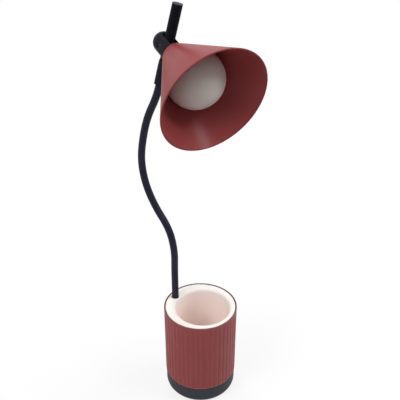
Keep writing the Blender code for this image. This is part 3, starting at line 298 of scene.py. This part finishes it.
def rounded_bar(name, low, high, size):
    """Bar along Y whose long edges are rounded."""
    bm = bmesh.new()
    middle, extent = (Vector(high) + Vector(low)) / 2, Vector(high) - Vector(low)
    bmesh.ops.create_cube(bm, size=1, matrix=Matrix.Translation(middle) @ Matrix.Diagonal((*extent, 1)))
    along = [e for e in bm.edges if abs(e.verts[0].co.y - e.verts[1].co.y) > extent.y / 2]
    bmesh.ops.bevel(bm, geom=along, offset=size, segments=6, profile=0.5, affect="EDGES")
    bm.verts.index_update()
    verts = [v.co.copy() for v in bm.verts]
    faces = [tuple(v.index for v in f.verts) for f in bm.faces]
    bm.free()
    return body_from(name, verts, faces)


def cut(piece, cutters, bevel=0.0, sharp=38):
    """Cut a piece by bodies, with a small round on the new edges where asked."""
    for cutter in cutters:
        step = piece.modifiers.new(cutter.name, "BOOLEAN")
        step.operation, step.solver, step.object = "DIFFERENCE", "EXACT", cutter
    if bevel:
        step = piece.modifiers.new("edge", "BEVEL")
        step.width, step.segments, step.limit_method = bevel, 2, "ANGLE"
        step.angle_limit = math.radians(45)
        step.use_clamp_overlap = True
    bpy.context.view_layer.update()
    made = bpy.data.meshes.new_from_object(piece.evaluated_get(bpy.context.evaluated_depsgraph_get()))
    piece.modifiers.clear()
    old, piece.data = piece.data, made
    bpy.data.meshes.remove(old)
    made.shade_smooth()
    made.set_sharp_from_angle(angle=math.radians(sharp))
    for cutter in cutters:
        bpy.data.objects.remove(cutter, do_unlink=True)


# Shader helpers
def add(tree, kind, inputs, output=0, **settings):
    """New node with its inputs set to values or linked to sockets; gives one of its outputs."""
    node = tree.nodes.new(f"ShaderNode{kind}")
    for key, value in settings.items():
        setattr(node, key, value)
    for key, value in inputs.items():
        if isinstance(value, bpy.types.NodeSocket):
            tree.links.new(value, node.inputs[key])
        else:
            node.inputs[key].default_value = value
    return node.outputs[output]


def blended(tree, share, a, b):
    """Colour between two, each a socket or an (r, g, b)."""
    a, b = ((*c, 1) if isinstance(c, tuple) else c for c in (a, b))
    return add(tree, "Mix", {0: share, 6: a, 7: b}, 2, data_type="RGBA")


def spans(tree, source, start, end, low=0.0, high=1.0, kind="LINEAR"):
    """Value taken from one span of numbers to another, and held at its ends."""
    return add(tree, "MapRange", {"Value": source, "From Min": start, "From Max": end, "To Min": low,
                                  "To Max": high}, "Result", interpolation_type=kind)


def ramp(tree, source, start, end, low=0.0, high=1.0):
    """The same, eased at both ends."""
    return spans(tree, source, start, end, low, high, "SMOOTHSTEP")


def pair(tree, operation, a, b):
    """Two values put together by one Math operation."""
    return add(tree, "Math", {0: a, 1: b}, operation=operation)


def one_of(tree, *rays):
    """Socket that is 1 for rays of any of the kinds named."""
    path = tree.nodes.new("ShaderNodeLightPath")
    found = path.outputs[rays[0]]
    for ray in rays[1:]:
        found = pair(tree, "MAXIMUM", found, path.outputs[ray])
    return found


def scaled(colour, factor, more=0.0):
    return tuple(min(1, c * factor + more) for c in colour)


def finish(name, colour, rough, *, spread=0.06, blotch=16, grain=2600, grain_depth=0.00002, rough_spread=0.07,
           wear_and_painted_light=None, groove=None, edge=None, painted_well_bounce=None, metallic=0.0, turned=0.0, sss=0.0, sss_scale=0.004,
           sheen=0.0, specular=0.5, specks=0.0):
    """Moulded, painted or turned finish: colour and gloss that wander, a fine grain, rubbed edges, and
    painted light and shade where asked.

    wear and groove give a colour and a strength, edge and deep a colour: each is laid on where the mesh's
    attribute of that name says. The wear tone is rubbing, on the maroon shell a painted highlight and on the
    shade a darker lip; the groove tone is painted shade in hollows, the edge tone painted shade, and the deep
    tone painted bounce light in the well.
    """
    mat = bpy.data.materials.new(name)
    mat.use_nodes = True
    mat.diffuse_color = (*colour, 1)
    tree = mat.node_tree
    place = add(tree, "TexCoord", {}, "Object")

    def noise(scale, detail, vector=place):
        return add(tree, "TexNoise", {"Vector": vector, "Scale": scale, "Detail": detail}, "Fac")

    shade = blended(tree, spans(tree, noise(blotch, 4), 0.35, 0.65), scaled(colour, 1 - spread),
                    scaled(colour, 1 + spread))
    fleck = spans(tree, noise(grain * 0.45, 2), 0.5, 0.75, 0, 0.5)
    shade = blended(tree, fleck, shade, scaled(colour, 1 + spread * 0.9))
    if specks:
        dust = spans(tree, noise(grain * 0.22, 1), 0.72, 0.80, 0, specks)
        shade = blended(tree, dust, shade, scaled(colour, 1.5, 0.05))
    for key, laid_tone, scale in (("wear_and_painted_light", wear_and_painted_light, 340), ("groove", groove, 60)):
        if laid_tone:
            here = add(tree, "Attribute", {}, "Fac", attribute_name=key)
            patchy = spans(tree, noise(scale, 5), 0.3, 0.7, 0, laid_tone[1])
            shade = blended(tree, pair(tree, "MULTIPLY", here, patchy), shade, laid_tone[0])
    for key, tone in (("edge", edge), ("painted_well_bounce", painted_well_bounce)):
        if tone:
            shade = blended(tree, add(tree, "Attribute", {}, "Fac", attribute_name=key), shade, tone)

    normal = add(tree, "Bump", {"Strength": 0.5, "Distance": grain_depth, "Height": noise(grain, 2)},
                 "Normal")
    if turned:
        stretched = add(tree, "Mapping", {"Vector": place, "Scale": (0.15, 0.15, 6.0)}, "Vector")
        normal = add(tree, "Bump", {"Strength": 0.4, "Distance": turned, "Height": noise(700, 2, stretched),
                                    "Normal": normal}, "Normal")
    gloss = spans(tree, noise(blotch * 3.1, 4), 0.35, 0.65, rough - rough_spread / 2,
                  rough + rough_spread / 2)

    shader = tree.nodes["Principled BSDF"]
    for key, source in (("Base Color", shade), ("Roughness", gloss), ("Normal", normal)):
        tree.links.new(source, shader.inputs[key])
    values = {"Metallic": metallic, "Specular IOR Level": specular}
    if sss:
        values |= {"Subsurface Weight": sss, "Subsurface Radius": (1.0, 0.7, 0.5),
                   "Subsurface Scale": sss_scale}
    if sheen:
        values |= {"Sheen Weight": sheen, "Sheen Roughness": 0.45}
    for key, value in values.items():
        shader.inputs[key].default_value = value
    return mat


# Finishes
# Maroon shell: the groove tone is painted shade in the flute hollows, the wear tone a painted highlight along
# the foot band and the lip, and the edge tone painted shade at the foot seam and the lip's inner top.
maroon = finish("maroon_shell", (0.296, 0.0332, 0.0332), 0.46, spread=0.04, grain=3000,
                grain_depth=0.00003, wear_and_painted_light=((0.33, 0.150, 0.155), 0.9), groove=((0.165, 0.026, 0.027), 0.07),
                edge=(0.072, 0.017, 0.020), specular=0.68, sheen=0.09)
# Shade: its wear tone makes the shade darker along the mouth's lip
shade_paint = finish("shade_red", (0.290, 0.052, 0.053), 0.33, spread=0.03, blotch=11, grain=1500,
                     grain_depth=0.000005, wear_and_painted_light=((0.16, 0.030, 0.034), 0.7), rough_spread=0.04, specular=0.14)
# White plastic: its deep tone is painted bounce light that makes the pen well pinker lower down
white = finish("white_plastic", (0.915, 0.862, 0.822), 0.38, spread=0.015, blotch=20, grain=2200,
               grain_depth=0.000012, sss=0.12, sss_scale=0.004, wear_and_painted_light=((0.93, 0.89, 0.86), 0.4),
               painted_well_bounce=(0.968, 0.834, 0.790))
white_board = finish("white_board", (0.80, 0.80, 0.78), 0.35, spread=0.03, grain=2000)
charcoal = finish("charcoal_plastic", (0.033, 0.035, 0.050), 0.44, spread=0.10, grain=3000,
                  grain_depth=0.00003, wear_and_painted_light=((0.060, 0.062, 0.075), 0.5), specular=0.36)
satin = finish("black_paint", (0.0115, 0.0112, 0.0165), 0.40, spread=0.12, grain=1900, grain_depth=0.000012,
               wear_and_painted_light=((0.035, 0.035, 0.042), 0.5), rough_spread=0.10, specular=0.12)
rod_black = finish("rod_paint", (0.0065, 0.0063, 0.0100), 0.42, spread=0.12, grain=1900, grain_depth=0.000012,
                   wear_and_painted_light=((0.030, 0.030, 0.036), 0.5), rough_spread=0.10, specular=0.07)
silicone = finish("neck_silicone", (0.0145, 0.015, 0.033), 0.48, spread=0.12, blotch=40, grain=2400,
                  grain_depth=0.000010, sheen=0.03, specks=0.2, specular=0.2)
rubber = finish("black_rubber", (0.022, 0.022, 0.023), 0.78, spread=0.12, grain=1600, grain_depth=0.00006,
                specks=0.3)
steel = finish("steel", (0.56, 0.56, 0.57), 0.32, spread=0.05, blotch=60, grain=2400, metallic=1.0,
               turned=0.00002, rough_spread=0.12)
black_steel = finish("black_steel", (0.050, 0.051, 0.058), 0.36, spread=0.15, blotch=200, grain=2600,
                     metallic=1.0, wear_and_painted_light=((0.35, 0.35, 0.36), 0.7), rough_spread=0.15)
wrap = finish("cell_wrap", (0.045, 0.15, 0.42), 0.36, spread=0.06, grain=2000)
green = finish("green_board", (0.018, 0.15, 0.065), 0.42, spread=0.12, blotch=120, grain=1400)
milk = finish("milky_plastic", (0.732, 0.592, 0.540), 0.45, spread=0.012, blotch=22, grain=2600,
              grain_depth=0.000010, sss=0.45, sss_scale=0.010)

# Pieces that keep the form of their solids
for mat, nodes in {
    steel: ("counterweight", "base_screw_1", "base_screw_2", "base_screw_3", "board_screw_left",
            "board_screw_right", "neck_collar", "neck_grub_screw", "charging_socket"),
    charcoal: ("battery_cradle", "switch_body", "shade_ring"),
    wrap: ("battery_cell",), green: ("control_board",), white_board: ("light_board",),
}.items():
    for node in nodes:
        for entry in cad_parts[node].material_slots:
            entry.material = mat


# Cup
def fluted_ring(crest, depth, z):
    """Ring of the fluted wall: a land and a smooth hollow for each flute, with the hollow's depth share."""
    points, hollows = [], []
    for i in range(FLUTES):
        for k in range(POINTS_PER_FLUTE):
            u = -0.5 + k / POINTS_PER_FLUTE
            s = max(0.0, (abs(u) - FLUTE_LAND) / (0.5 - FLUTE_LAND))
            hollow = math.sin(math.pi * s / 2) ** 2
            a = math.tau * (i + u) / FLUTES
            r = crest - depth * hollow
            points.append(Vector((r * math.cos(a), r * math.sin(a), z)))
            hollows.append(hollow * depth / FLUTE_DEPTH)
    return points, hollows


# Height, crest radius, depth of the flutes and wear, from the foot up, over the lip and down inside;
# here wear is the share of a painted highlight, a greyish line along the foot band and on the lip
shell_rings, marks = [], {"groove": [], "wear_and_painted_light": [], "edge": []}
for z, crest, depth, worn_and_lit in (
    (0.0252, 0.0400, 0, 0), (0.0252, 0.0414, 0, 0.2), (0.02526, 0.04172, 0, 0.8), (0.0254, 0.0419, 0, 1),
    (0.0257, 0.04204, 0, 1), (0.0262, 0.0421, 0, 1), (0.0266, 0.0421, 0.00010, 0.8),
    (0.0269, 0.0421, 0.00034, 0.4), (0.0272, 0.0421, 0.00054, 0), (0.0275, 0.0421, FLUTE_DEPTH, 0),
    (0.0400, 0.04216, FLUTE_DEPTH, 0), (0.0560, 0.04223, FLUTE_DEPTH, 0), (0.0720, 0.0423, FLUTE_DEPTH, 0),
    (0.0880, 0.04237, FLUTE_DEPTH, 0), (0.1040, 0.04244, FLUTE_DEPTH, 0), (0.1136, 0.0425, FLUTE_DEPTH, 0),
    (0.1139, 0.0425, 0.00054, 0), (0.1142, 0.0425, 0.00034, 0), (0.1144, 0.0425, 0.00010, 0.2),
    (0.1146, 0.0425, 0, 0.3), (0.1150, 0.0425, 0, 0), (0.1170, 0.0425, 0, 0), (0.1175, 0.0425, 0, 0.3),
    (0.11776, 0.04244, 0, 0.8), (0.11793, 0.04224, 0, 1), (RIM_Z, 0.0420, 0, 0.8), (RIM_Z, 0.0416, 0, 0.3),
    (RIM_Z, 0.0413, 0, 0.3), (0.1150, 0.0413, 0, 0), (0.1150, 0.0400, 0, 0),
):
    points, hollows = fluted_ring(crest, depth, z)
    # Painted shade: the underside at the foot seam and the lip's inner top get the dark edge tone in place of
    # their shadow
    in_painted_shade = z < SHADED_FOOT_Z or (z > SHADED_LIP_Z and crest < SHADED_LIP_RADIUS)
    shell_rings.append(points)
    # Painted shade: each flute's hollow gets the darker groove tone by its depth share
    marks["groove"] += hollows
    marks["wear_and_painted_light"] += [worn_and_lit] * len(points)
    marks["edge"] += [float(in_painted_shade)] * len(points)
shell = loft("shell_wall", shell_rings, maroon, sharp=40, caps=False, attributes=marks)
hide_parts("ribbed_shell")
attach(shell, "base")


def off_centre(outline, share):
    """Outline points whose circle lies a share of the way from the cup's axis to the well's."""
    return [(*point, share) for point in outline]


# From the rim plate's edge over the rim, down the well, and back up outside it
well_side = WELL_RADIUS + WELL_MOUTH
corner = WELL_RADIUS - WELL_CORNER
corner_z = WELL_FLOOR_Z + WELL_CORNER
outer_corner = WELL_CORNER + WELL_WALL
liner_line = [(0.0410, 0.1153, 0, 0)]
liner_line += off_centre(arc(PLATE_EDGE_RADIUS, RIM_Z - PLATE_EDGE_ROUND, PLATE_EDGE_ROUND, 0, 90, 6, 0.4), 0)
liner_line += [(PLATE_EDGE_RADIUS + (well_side - PLATE_EDGE_RADIUS) * i / 6, RIM_Z, 0, i / 6)
               for i in range(1, 6)]
liner_line += off_centre(arc(well_side, RIM_Z - WELL_MOUTH, WELL_MOUTH, 90, 180, 8, 0.2), 1)
liner_line += [(WELL_RADIUS, z, 0, 1) for z in (0.1040, 0.0900, 0.0760, 0.0620, 0.0530)]
liner_line += off_centre(arc(corner, corner_z, WELL_CORNER, 0, -90, 5), 1)
liner_line += [(r, WELL_FLOOR_Z, 0, 1) for r in (0.0200, 0.0100, 0.0002)]
liner_line += [(r, WELL_UNDER_Z, 0, 1) for r in (0.0002, corner)]
liner_line += off_centre(arc(corner, WELL_UNDER_Z + outer_corner, outer_corner, -90, 0, 5)[1:], 1)
liner_line += [(WELL_RADIUS + WELL_WALL, PLATE_UNDER_Z, 0, 1)]
liner_line += [(0.0383, PLATE_UNDER_Z, 0, 0), (0.0383, 0.1053, 0, 0), (0.0397, 0.1053, 0, 0),
               (0.0397, 0.1153, 0, 0)]
liner_rings, marks = [], {"wear_and_painted_light": [], "painted_well_bounce": []}
for r, z, worn_and_lit, share in liner_line:
    # Painted bounce light: inside the well, the lower the point, the more of the pinker deep tone
    depth = min(1.0, max(0.0, (PAINTED_BOUNCE_START_Z - z) / PAINTED_BOUNCE_SPAN)) if r < well_side + 0.0001 else 0.0
    liner_rings.append(circle(r, z, LINER_SIDES, WELL * share))
    marks["wear_and_painted_light"] += [worn_and_lit] * LINER_SIDES
    marks["painted_well_bounce"] += [depth] * LINER_SIDES
liner = loft("liner_moulding", liner_rings, white, sharp=45, caps=False, attributes=marks)
at_neck = Matrix.Translation(NECK_SPOT)
bore = eased([(0, 0.090), (NECK_BORE, 0.090), (NECK_BORE, 0.1174), (0.0049, 0.1181), (0.0049, 0.130),
              (0, 0.130)])
cut(liner, [lathe("bore", bore, 48, matrix=at_neck)], sharp=45)
boss_line = eased([(NECK_BORE, 0.1152), (NECK_BORE, 0.1020, 0.0002), (0.0053, 0.1020, SMALL_ROUND),
                   (0.0053, 0.1152)])
boss = lathe("neck_boss", boss_line, 48, white, at_neck)
boss.parent = liner
at_screws = [move(SCREW_CIRCLE * math.cos(math.radians(deg)), SCREW_CIRCLE * math.sin(math.radians(deg)), 0)
             for deg in SCREW_ANGLES]
boss_line = eased([(SCREW_BORE, 0.0442), (SCREW_BORE, 0.0260, 0.0002), (PILLAR_RADIUS, 0.0260, SMALL_ROUND),
                   (PILLAR_RADIUS, 0.0442)])
for i, spot in enumerate(at_screws):
    pillar = lathe(f"screw_boss_{i + 1}", boss_line, 32, white, spot)
    pillar.parent = liner
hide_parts("cup_liner")
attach(liner, "base")

# Base: the cap's floor, big round, side, top edge and spigot, then back down inside
base_line = [(0, 0.0020, 0), (0.0311, 0.0020, 0), (0.0311, 0.0012, 0.3)]
base_line += arc(0.0315, 0.0112, 0.0100, -90, 0, 14)
base_line += [(0.0415, 0.0150, 0), (0.0416, 0.0200, 0)]
base_line += eased([(0.0416, 0.0215), (0.0417, BASE_TOP_Z, 0.0008), (SPIGOT_RADIUS, BASE_TOP_Z)], 5)[1:-1]
base_line += [(SPIGOT_RADIUS, BASE_TOP_Z, 0), (SPIGOT_RADIUS, SPIGOT_TOP_Z - 0.0002, 0),
              (SPIGOT_RADIUS - 0.0002, SPIGOT_TOP_Z, 0), (0.0383, SPIGOT_TOP_Z, 0),
              (0.0381, SPIGOT_TOP_Z - 0.0002, 0)]
base_line += arc(0.0301, 0.0112, 0.0080, 0, -90, 6)
base_line += [(0, 0.0032, 0)]
base = lathe("base_shell", base_line, 144, charcoal)
hole = eased([(0, BUTTON_BACK), (0.0033, BUTTON_BACK), (0.0033, 0.0412), (0.0038, 0.0418), (0.0038, 0.046),
              (0, 0.046)])
well = eased([(0, -0.003), (SCREW_WELL, -0.003), (SCREW_WELL, SCREW_WELL_TOP), (0, SCREW_WELL_TOP)])
cap_cuts = [rounded_bar("slot", (-0.0049, 0.0312, 0.0135), (0.0049, 0.0457, 0.0175), 0.0011)]
cap_cuts.append(lathe("hole", hole, 48, matrix=BUTTON))
cap_cuts += [lathe(f"well_{i + 1}", well, 32, matrix=spot) for i, spot in enumerate(at_screws)]
cut(base, cap_cuts, sharp=35)
pillar_line = eased([(SCREW_WELL, 0.0026), (SCREW_WELL, SCREW_WELL_TOP), (SCREW_BORE, SCREW_WELL_TOP),
                     (SCREW_BORE, 0.0257), (PILLAR_RADIUS, 0.0257, SMALL_ROUND), (PILLAR_RADIUS, 0.0026)])
for i, spot in enumerate(at_screws):
    pillar = lathe(f"base_pillar_{i + 1}", pillar_line, 32, charcoal, spot)
    pillar.parent = base
post_line = eased([(0.0012, 0.0068), (0.0012, 0.0117), (0.0022, 0.0117), (0.0022, 0.0028), (0.0012, 0.0028)])
for label, side in (("left", -1), ("right", 1)):
    post = lathe(f"board_post_{label}", post_line, 24, charcoal,
                 move(side * POST_SPOT[0], POST_SPOT[1], 0))
    post.parent = base
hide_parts("base_cap")
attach(base, "base")

pad_line = eased([(0, 0), (0.0140, 0), (0.0143, 0.0003), (0.0263, 0.0003), (0.0266, 0), (0.0308, 0, 0.0005),
                  (0.0308, 0.0017, 0.0002), (0, 0.0017)])
pad = lathe("foot_disc", pad_line, 128, rubber)
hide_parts("foot_pad")
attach(pad, "base")

button_line = eased([(0, BUTTON_BACK), (0.0038, BUTTON_BACK, 0.0002), (0.0038, 0.0372, 0.0002),
                     (0.0030, 0.0372), (0.0030, 0.0423, 0.0006), (0.0019, 0.0423, 0.0004),
                     (0.0010, 0.0421), (0, 0.04205)], 5)
button = lathe("button_cap", button_line, 56, charcoal, BUTTON)
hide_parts("power_button")
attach(button, "button")


# Neck: one smooth sleeve over each joint, from the middle of one link to the middle of the next
def neck_frame(travel):
    """Frame at a distance along the neck from the rim, counted in lengths of one link."""
    index = min(int(travel), LINK_COUNT - 1)
    return links[index] @ bent(index, travel - index)


def neck_ring(matrix, radius):
    return [matrix @ point for point in circle(radius, 0, NECK_SIDES)]


spigot = ((0.0028, -0.0231), (0.0030, -0.0229), (0.0030, -0.0160), (0.0038, -0.0160), (NECK_RADIUS, -0.0158))
for i in range(LINK_COUNT):
    start = 0.0 if i == 0 else i + 0.5
    end = i + 1.5 if i < LINK_COUNT - 1 else LINK_COUNT - 0.0003 / LINK
    rings = [neck_ring(links[0] @ move(0, 0, z), r) for r, z in spigot] if i == 0 else []
    for k in range(NECK_STATIONS + 1):
        rings.append(neck_ring(neck_frame(start + (end - start) * k / NECK_STATIONS), NECK_RADIUS))
    sleeve = loft(f"neck_sleeve_{i + 1:02d}", rings, silicone, sharp=40)
    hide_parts(f"gooseneck_link_{i + 1:02d}")
    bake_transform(sleeve)

# Arm
sleeve_line = eased([(0, 0.0002), (0.0047, 0.0002, 0.0002), (0.0051, -0.0018, 0.0003),
                     (0.00585, -0.0018, 0.0004), (0.00585, 0.0201, 0.004), (0.00565, 0.0231, 0.0003),
                     (0.00535, 0.0231, 0.0001), (0.00535, 0.0111), (0, 0.0111)])
sleeve = lathe("sleeve_barrel", sleeve_line, 64, satin, WRIST)
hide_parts("arm_sleeve")
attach(sleeve, "arm")

tube_line = eased([(TUBE_BORE, TUBE_ENDS[0], 0.0002), (TUBE_RADIUS, TUBE_ENDS[0], 0.0002),
                   (TUBE_RADIUS, TUBE_ENDS[1], 0.0002), (TUBE_BORE, TUBE_ENDS[1], 0.0002)], closed=True)
tube = lathe("arm_rod", tube_line, 64, rod_black, PIVOT)
pin_line = eased([(0, -0.010), (PIN_BORE, -0.010), (PIN_BORE, 0.010), (0, 0.010)])
cut(tube, [lathe("pin_hole", pin_line, 32, matrix=PIVOT @ ALONG_Y)])
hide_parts("arm_tube")
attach(tube, "arm")

plug_line = eased([(0, 0.0359), (0.0039, 0.0359, 0.0003), (0.0039, 0.0419), (TUBE_RADIUS, 0.0419, 0.0001),
                   (TUBE_RADIUS, 0.0429, 0.0005), (0, 0.0429)])
plug = lathe("rod_plug", plug_line, 64, charcoal, PIVOT)
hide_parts("tube_plug")
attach(plug, "arm")

# Hub: dome, barrel and nipple, with an hourglass slot for the tube and a bore for the pin
hub_line = arc(0, HUB_DOME_Z, HUB_RADIUS, -90, 0, 18)
hub_line += eased([(HUB_RADIUS, HUB_DOME_Z), (HUB_RADIUS, 0.0102, 0.0006), (0.0050, 0.0102),
                   (0.0050, 0.0170, 0.0003), (0.0022, 0.0170), (0.0022, 0), (0, 0)])[1:]
hub = lathe("hub_dome", hub_line, 96, satin, HEAD)
waist = SLOT_WAIST / math.cos(SLOT_LEAN)
wide = waist + SLOT_REACH * math.tan(SLOT_LEAN)
slot_line = [(SLOT_REACH, wide), (0, waist), (-SLOT_REACH, wide), (-SLOT_REACH, -wide), (0, -waist),
             (SLOT_REACH, -wide)]
slot_frame = HEAD @ rot(-(HEAD_ANGLE + 90 + TILT_MIDDLE), "Y")
slot = prism("hub_slot", slot_line, -SLOT_HALF_WIDTH, SLOT_HALF_WIDTH, slot_frame)
pin_line = eased([(0, -0.0147), (0.0034, -0.0147), (0.0034, -0.0082), (PIN_BORE, -0.0082), (PIN_BORE, 0.0082),
                  (0.0032, 0.0082), (0.0032, 0.0147), (0, 0.0147)])
cut(hub, [slot, lathe("hub_pin", pin_line, 48, matrix=HEAD @ ALONG_Y)], bevel=0.00025)
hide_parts("hub")
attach(hub, "head")

SEAT = HUB_RADIUS - PIN_INSET - PIN_HEAD
screw_line = eased([(0, -SEAT - 0.0018), (PIN_RADIUS, -SEAT - 0.0018, 0.0002), (PIN_RADIUS, SEAT),
                    (0.0032, SEAT, 0.0001), (0.0032, SEAT + 0.0017, 0.0004), (0.0016, SEAT + 0.0021, 0.0003),
                    (0, SEAT + 0.0021)])
screw = lathe("pin_screw", screw_line, 48, black_steel, HEAD @ ALONG_Y)
hexagon = [(point.x, point.y) for point in circle(0.0011, 0, 6)]
cut(screw, [prism("drive", hexagon, SEAT + 0.0008, SEAT + 0.003, HEAD)], sharp=30)
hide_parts("pivot_screw")
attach(screw, "head")

NUT_SIDES = 36
nut_rings = []
for r, y in ((PIN_BORE, -SEAT - 0.0018), (0.0029, -SEAT - 0.0018), (0.0031, -SEAT - 0.0016),
             (0.0031, -SEAT - 0.0002), (0.0029, -SEAT), (PIN_BORE, -SEAT)):
    ring = []
    for k in range(NUT_SIDES):
        a = math.tau * k / NUT_SIDES
        flat = math.cos(math.pi / 6) / math.cos((a % (math.pi / 3)) - math.pi / 6) if r > PIN_BORE else 1
        ring.append(HEAD @ Vector((r * flat * math.cos(a), y, r * flat * math.sin(a))))
    nut_rings.append(ring)
nut = loft("pin_nut", nut_rings, black_steel, sharp=25, caps=False)
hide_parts("pivot_nut")
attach(nut, "head")

# Shade
SLOPE = SHADE_MOUTH_RADIUS / (SHADE_MOUTH_Z - SHADE_APEX_Z)
LEAN = math.atan(SLOPE)
ACROSS = SHADE_WALL / math.cos(LEAN)


def cone(z):
    """Outer radius of the shade at a distance along its axis."""
    return (z - SHADE_APEX_Z) * SLOPE


def shoulder(inset):
    """Round between the shade's flat back and its cone, drawn in by the wall where asked."""
    z = SHADE_BACK_Z + SHADE_SHOULDER
    r = cone(z) - SHADE_SHOULDER / math.cos(LEAN)
    return arc(r, z, SHADE_SHOULDER - inset, -90, -math.degrees(LEAN), 10)


lip_z = SHADE_MOUTH_Z - SHADE_WALL / 2
lip_start = -math.degrees(LEAN)
lip = arc(cone(lip_z) - ACROSS / 2, lip_z, SHADE_WALL / 2, lip_start, lip_start + 180, 8)
shade_line = [(0.0053, SHADE_BACK_Z, 0), (0.0060, SHADE_BACK_Z, 0)] + shoulder(0)
shade_line += [(cone(z), z, 0.0) for z in SHADE_STATIONS]
# The lip's points take the full darker lip tone
shade_line += [(r, z, 1.0) for r, z, _ in lip]
shade_line += [(cone(z) - ACROSS, z, 0.0) for z in SHADE_STATIONS[::-1]]
shade_line += shoulder(SHADE_WALL)[::-1]
shade_line += [(0.0060, SHADE_BACK_Z + SHADE_WALL, 0), (0.0053, SHADE_BACK_Z + SHADE_WALL, 0)]
shade = lathe("shade_cone", shade_line, 224, shade_paint, HEAD, sharp=50)
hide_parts("lampshade")
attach(shade, "head")

# Lamp holder and globe
holder_line = eased([(0.0053, 0.0156), (0.0085, 0.0156, 0.0004), (0.0085, 0.0270, 0.002),
                     (0.0216, 0.0335, 0.0004), (0.0216, 0.0357, 0.0003), (0.01975, 0.0357),
                     (0.01975, 0.0381, 0.0002), (0.018, 0.0381, 0.0002), (0.018, 0.0355), (0.0022, 0.0355),
                     (0.0022, 0.0173), (0.0053, 0.0173)], closed=True)
holder = lathe("holder_moulding", holder_line, 96, white, HEAD)
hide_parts("lamp_holder")
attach(holder, "head")

outer_low, inner_low = (math.degrees(math.asin((GLOBE_SEAT_Z - GLOBE_Z) / r))
                        for r in (GLOBE_RADIUS, GLOBE_INNER))
globe_line = arc(0, GLOBE_Z, GLOBE_RADIUS, outer_low, 90, 44)
globe_line += arc(0, GLOBE_Z, GLOBE_INNER, 90, inner_low, 30)
globe = lathe("globe_shell", globe_line, 128, milk, HEAD, sharp=60)
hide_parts("globe")
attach(globe, "head")

# Floor: the sweep fades to white between two distances from the origin, with its whiteness at each
FLOOR_FADE = (0.06, 0.40, 0.80, 1.0)
FLOOR_BOUNCE = 0.50
FLOOR_IN_GLOSS = 0.25
FLOOR_REACH = 6


def sweep_material():
    """White sweep: lit and shadowed near the lamp, plain white further out."""
    mat = bpy.data.materials.new("floor_white")
    mat.use_nodes = True
    tree = mat.node_tree
    shader = tree.nodes["Principled BSDF"]
    shader.inputs["Roughness"].default_value = 0.9
    shader.inputs["Specular IOR Level"].default_value = 0.1
    tone = blended(tree, one_of(tree, "Is Camera Ray"), (FLOOR_BOUNCE,) * 3, (0.93, 0.93, 0.93))
    tree.links.new(tone, shader.inputs["Base Color"])
    glow = add(tree, "Emission", {"Color": (1, 1, 1, 1), "Strength": 1.0})
    position = add(tree, "NewGeometry", {}, "Position")
    distance = add(tree, "VectorMath", {0: position}, "Value", operation="LENGTH")
    share = ramp(tree, distance, *FLOOR_FADE)
    glossy = ramp(tree, one_of(tree, "Is Glossy Ray"), 0.0, 1.0, 0.0, FLOOR_IN_GLOSS)
    seen = pair(tree, "MAXIMUM", glossy, one_of(tree, "Is Camera Ray", "Is Transmission Ray"))
    surface = add(tree, "MixShader", {0: pair(tree, "MULTIPLY", seen, share), 1: shader.outputs[0], 2: glow})
    tree.links.new(surface, tree.nodes["Material Output"].inputs["Surface"])
    return mat


mesh = bpy.data.meshes.new("floor")
mesh.from_pydata([(x * FLOOR_REACH, y * FLOOR_REACH, 0) for x, y in ((-1, -1), (1, -1), (1, 1), (-1, 1))],
                 [], [(0, 1, 2, 3)])
mesh.materials.append(sweep_material())
floor = bpy.data.objects.new("floor", mesh)
bpy.context.scene.collection.objects.link(floor)

# World: brighter low in front for diffuse light, darker there for gloss, plain white to the camera
world = bpy.data.worlds.new("studio")
bpy.context.scene.world = world
world.use_nodes = True
tree = world.node_tree
tree.nodes.clear()
sky = add(tree, "TexCoord", {}, "Generated")
ahead, above = (add(tree, "SeparateXYZ", {0: sky}, axis) for axis in "YZ")
front = pair(tree, "MULTIPLY", ramp(tree, ahead, -0.10, -0.70), ramp(tree, above, 0.75, 0.35))
warm, neutral = (1.0, 0.99, 0.98, 1), (1, 1, 1, 1)
soft = add(tree, "Background", {"Color": warm, "Strength": ramp(tree, front, 0, 1, 0.09, 0.57)})
shiny = add(tree, "Background", {"Color": neutral, "Strength": ramp(tree, front, 0, 1, 0.73, 0.18)})
clear = add(tree, "Background", {"Color": neutral, "Strength": 1.0})
unseen = add(tree, "MixShader", {0: one_of(tree, "Is Glossy Ray"), 1: soft, 2: shiny})
plain = one_of(tree, "Is Camera Ray", "Is Transmission Ray")
studio = add(tree, "MixShader", {0: plain, 1: unseen, 2: clear})
tree.links.new(studio, tree.nodes.new("ShaderNodeOutputWorld").inputs["Surface"])


def area_light(name, spot, target, size, power, colour=(1, 1, 1), glossy=True):
    data = bpy.data.lights.new(name, "AREA")
    data.shape, data.size, data.energy, data.color = "DISK", size, power, colour
    lamp = bpy.data.objects.new(name, data)
    lamp.location = spot
    lamp.rotation_euler = (Vector(target) - Vector(spot)).to_track_quat("-Z", "Y").to_euler()
    lamp.visible_glossy = glossy
    bpy.context.scene.collection.objects.link(lamp)


area_light("key", (0.86, -0.30, 1.36), (0, -0.02, 0.24), 0.38, 4.8, (1, 0.99, 0.98))
area_light("fill", (-0.90, -0.92, 1.32), (-0.02, 0, 0.18), 0.8, 11.3, glossy=False)
area_light("left", (-0.95, -0.30, 1.45), (-0.02, 0, 0.18), 0.8, 4.3, glossy=False)
area_light("right", (1.05, 0.25, 0.95), (0, 0, 0.16), 0.7, 7.8, glossy=False)
area_light("back", (-0.30, 0.90, 1.35), (0, 0, 0.20), 0.7, 8.0, glossy=False)

camera_data = bpy.data.cameras.new("camera")
camera_data.lens = 58.5
camera_data.sensor_width = 36
camera = bpy.data.objects.new("camera", camera_data)
camera.location = (-0.0005, -0.5971, 0.6037)
camera.rotation_euler = (math.radians(60.07), 0, 0)
bpy.context.scene.collection.objects.link(camera)
bpy.context.scene.camera = camera
bpy.context.scene.view_settings.view_transform = "Standard"
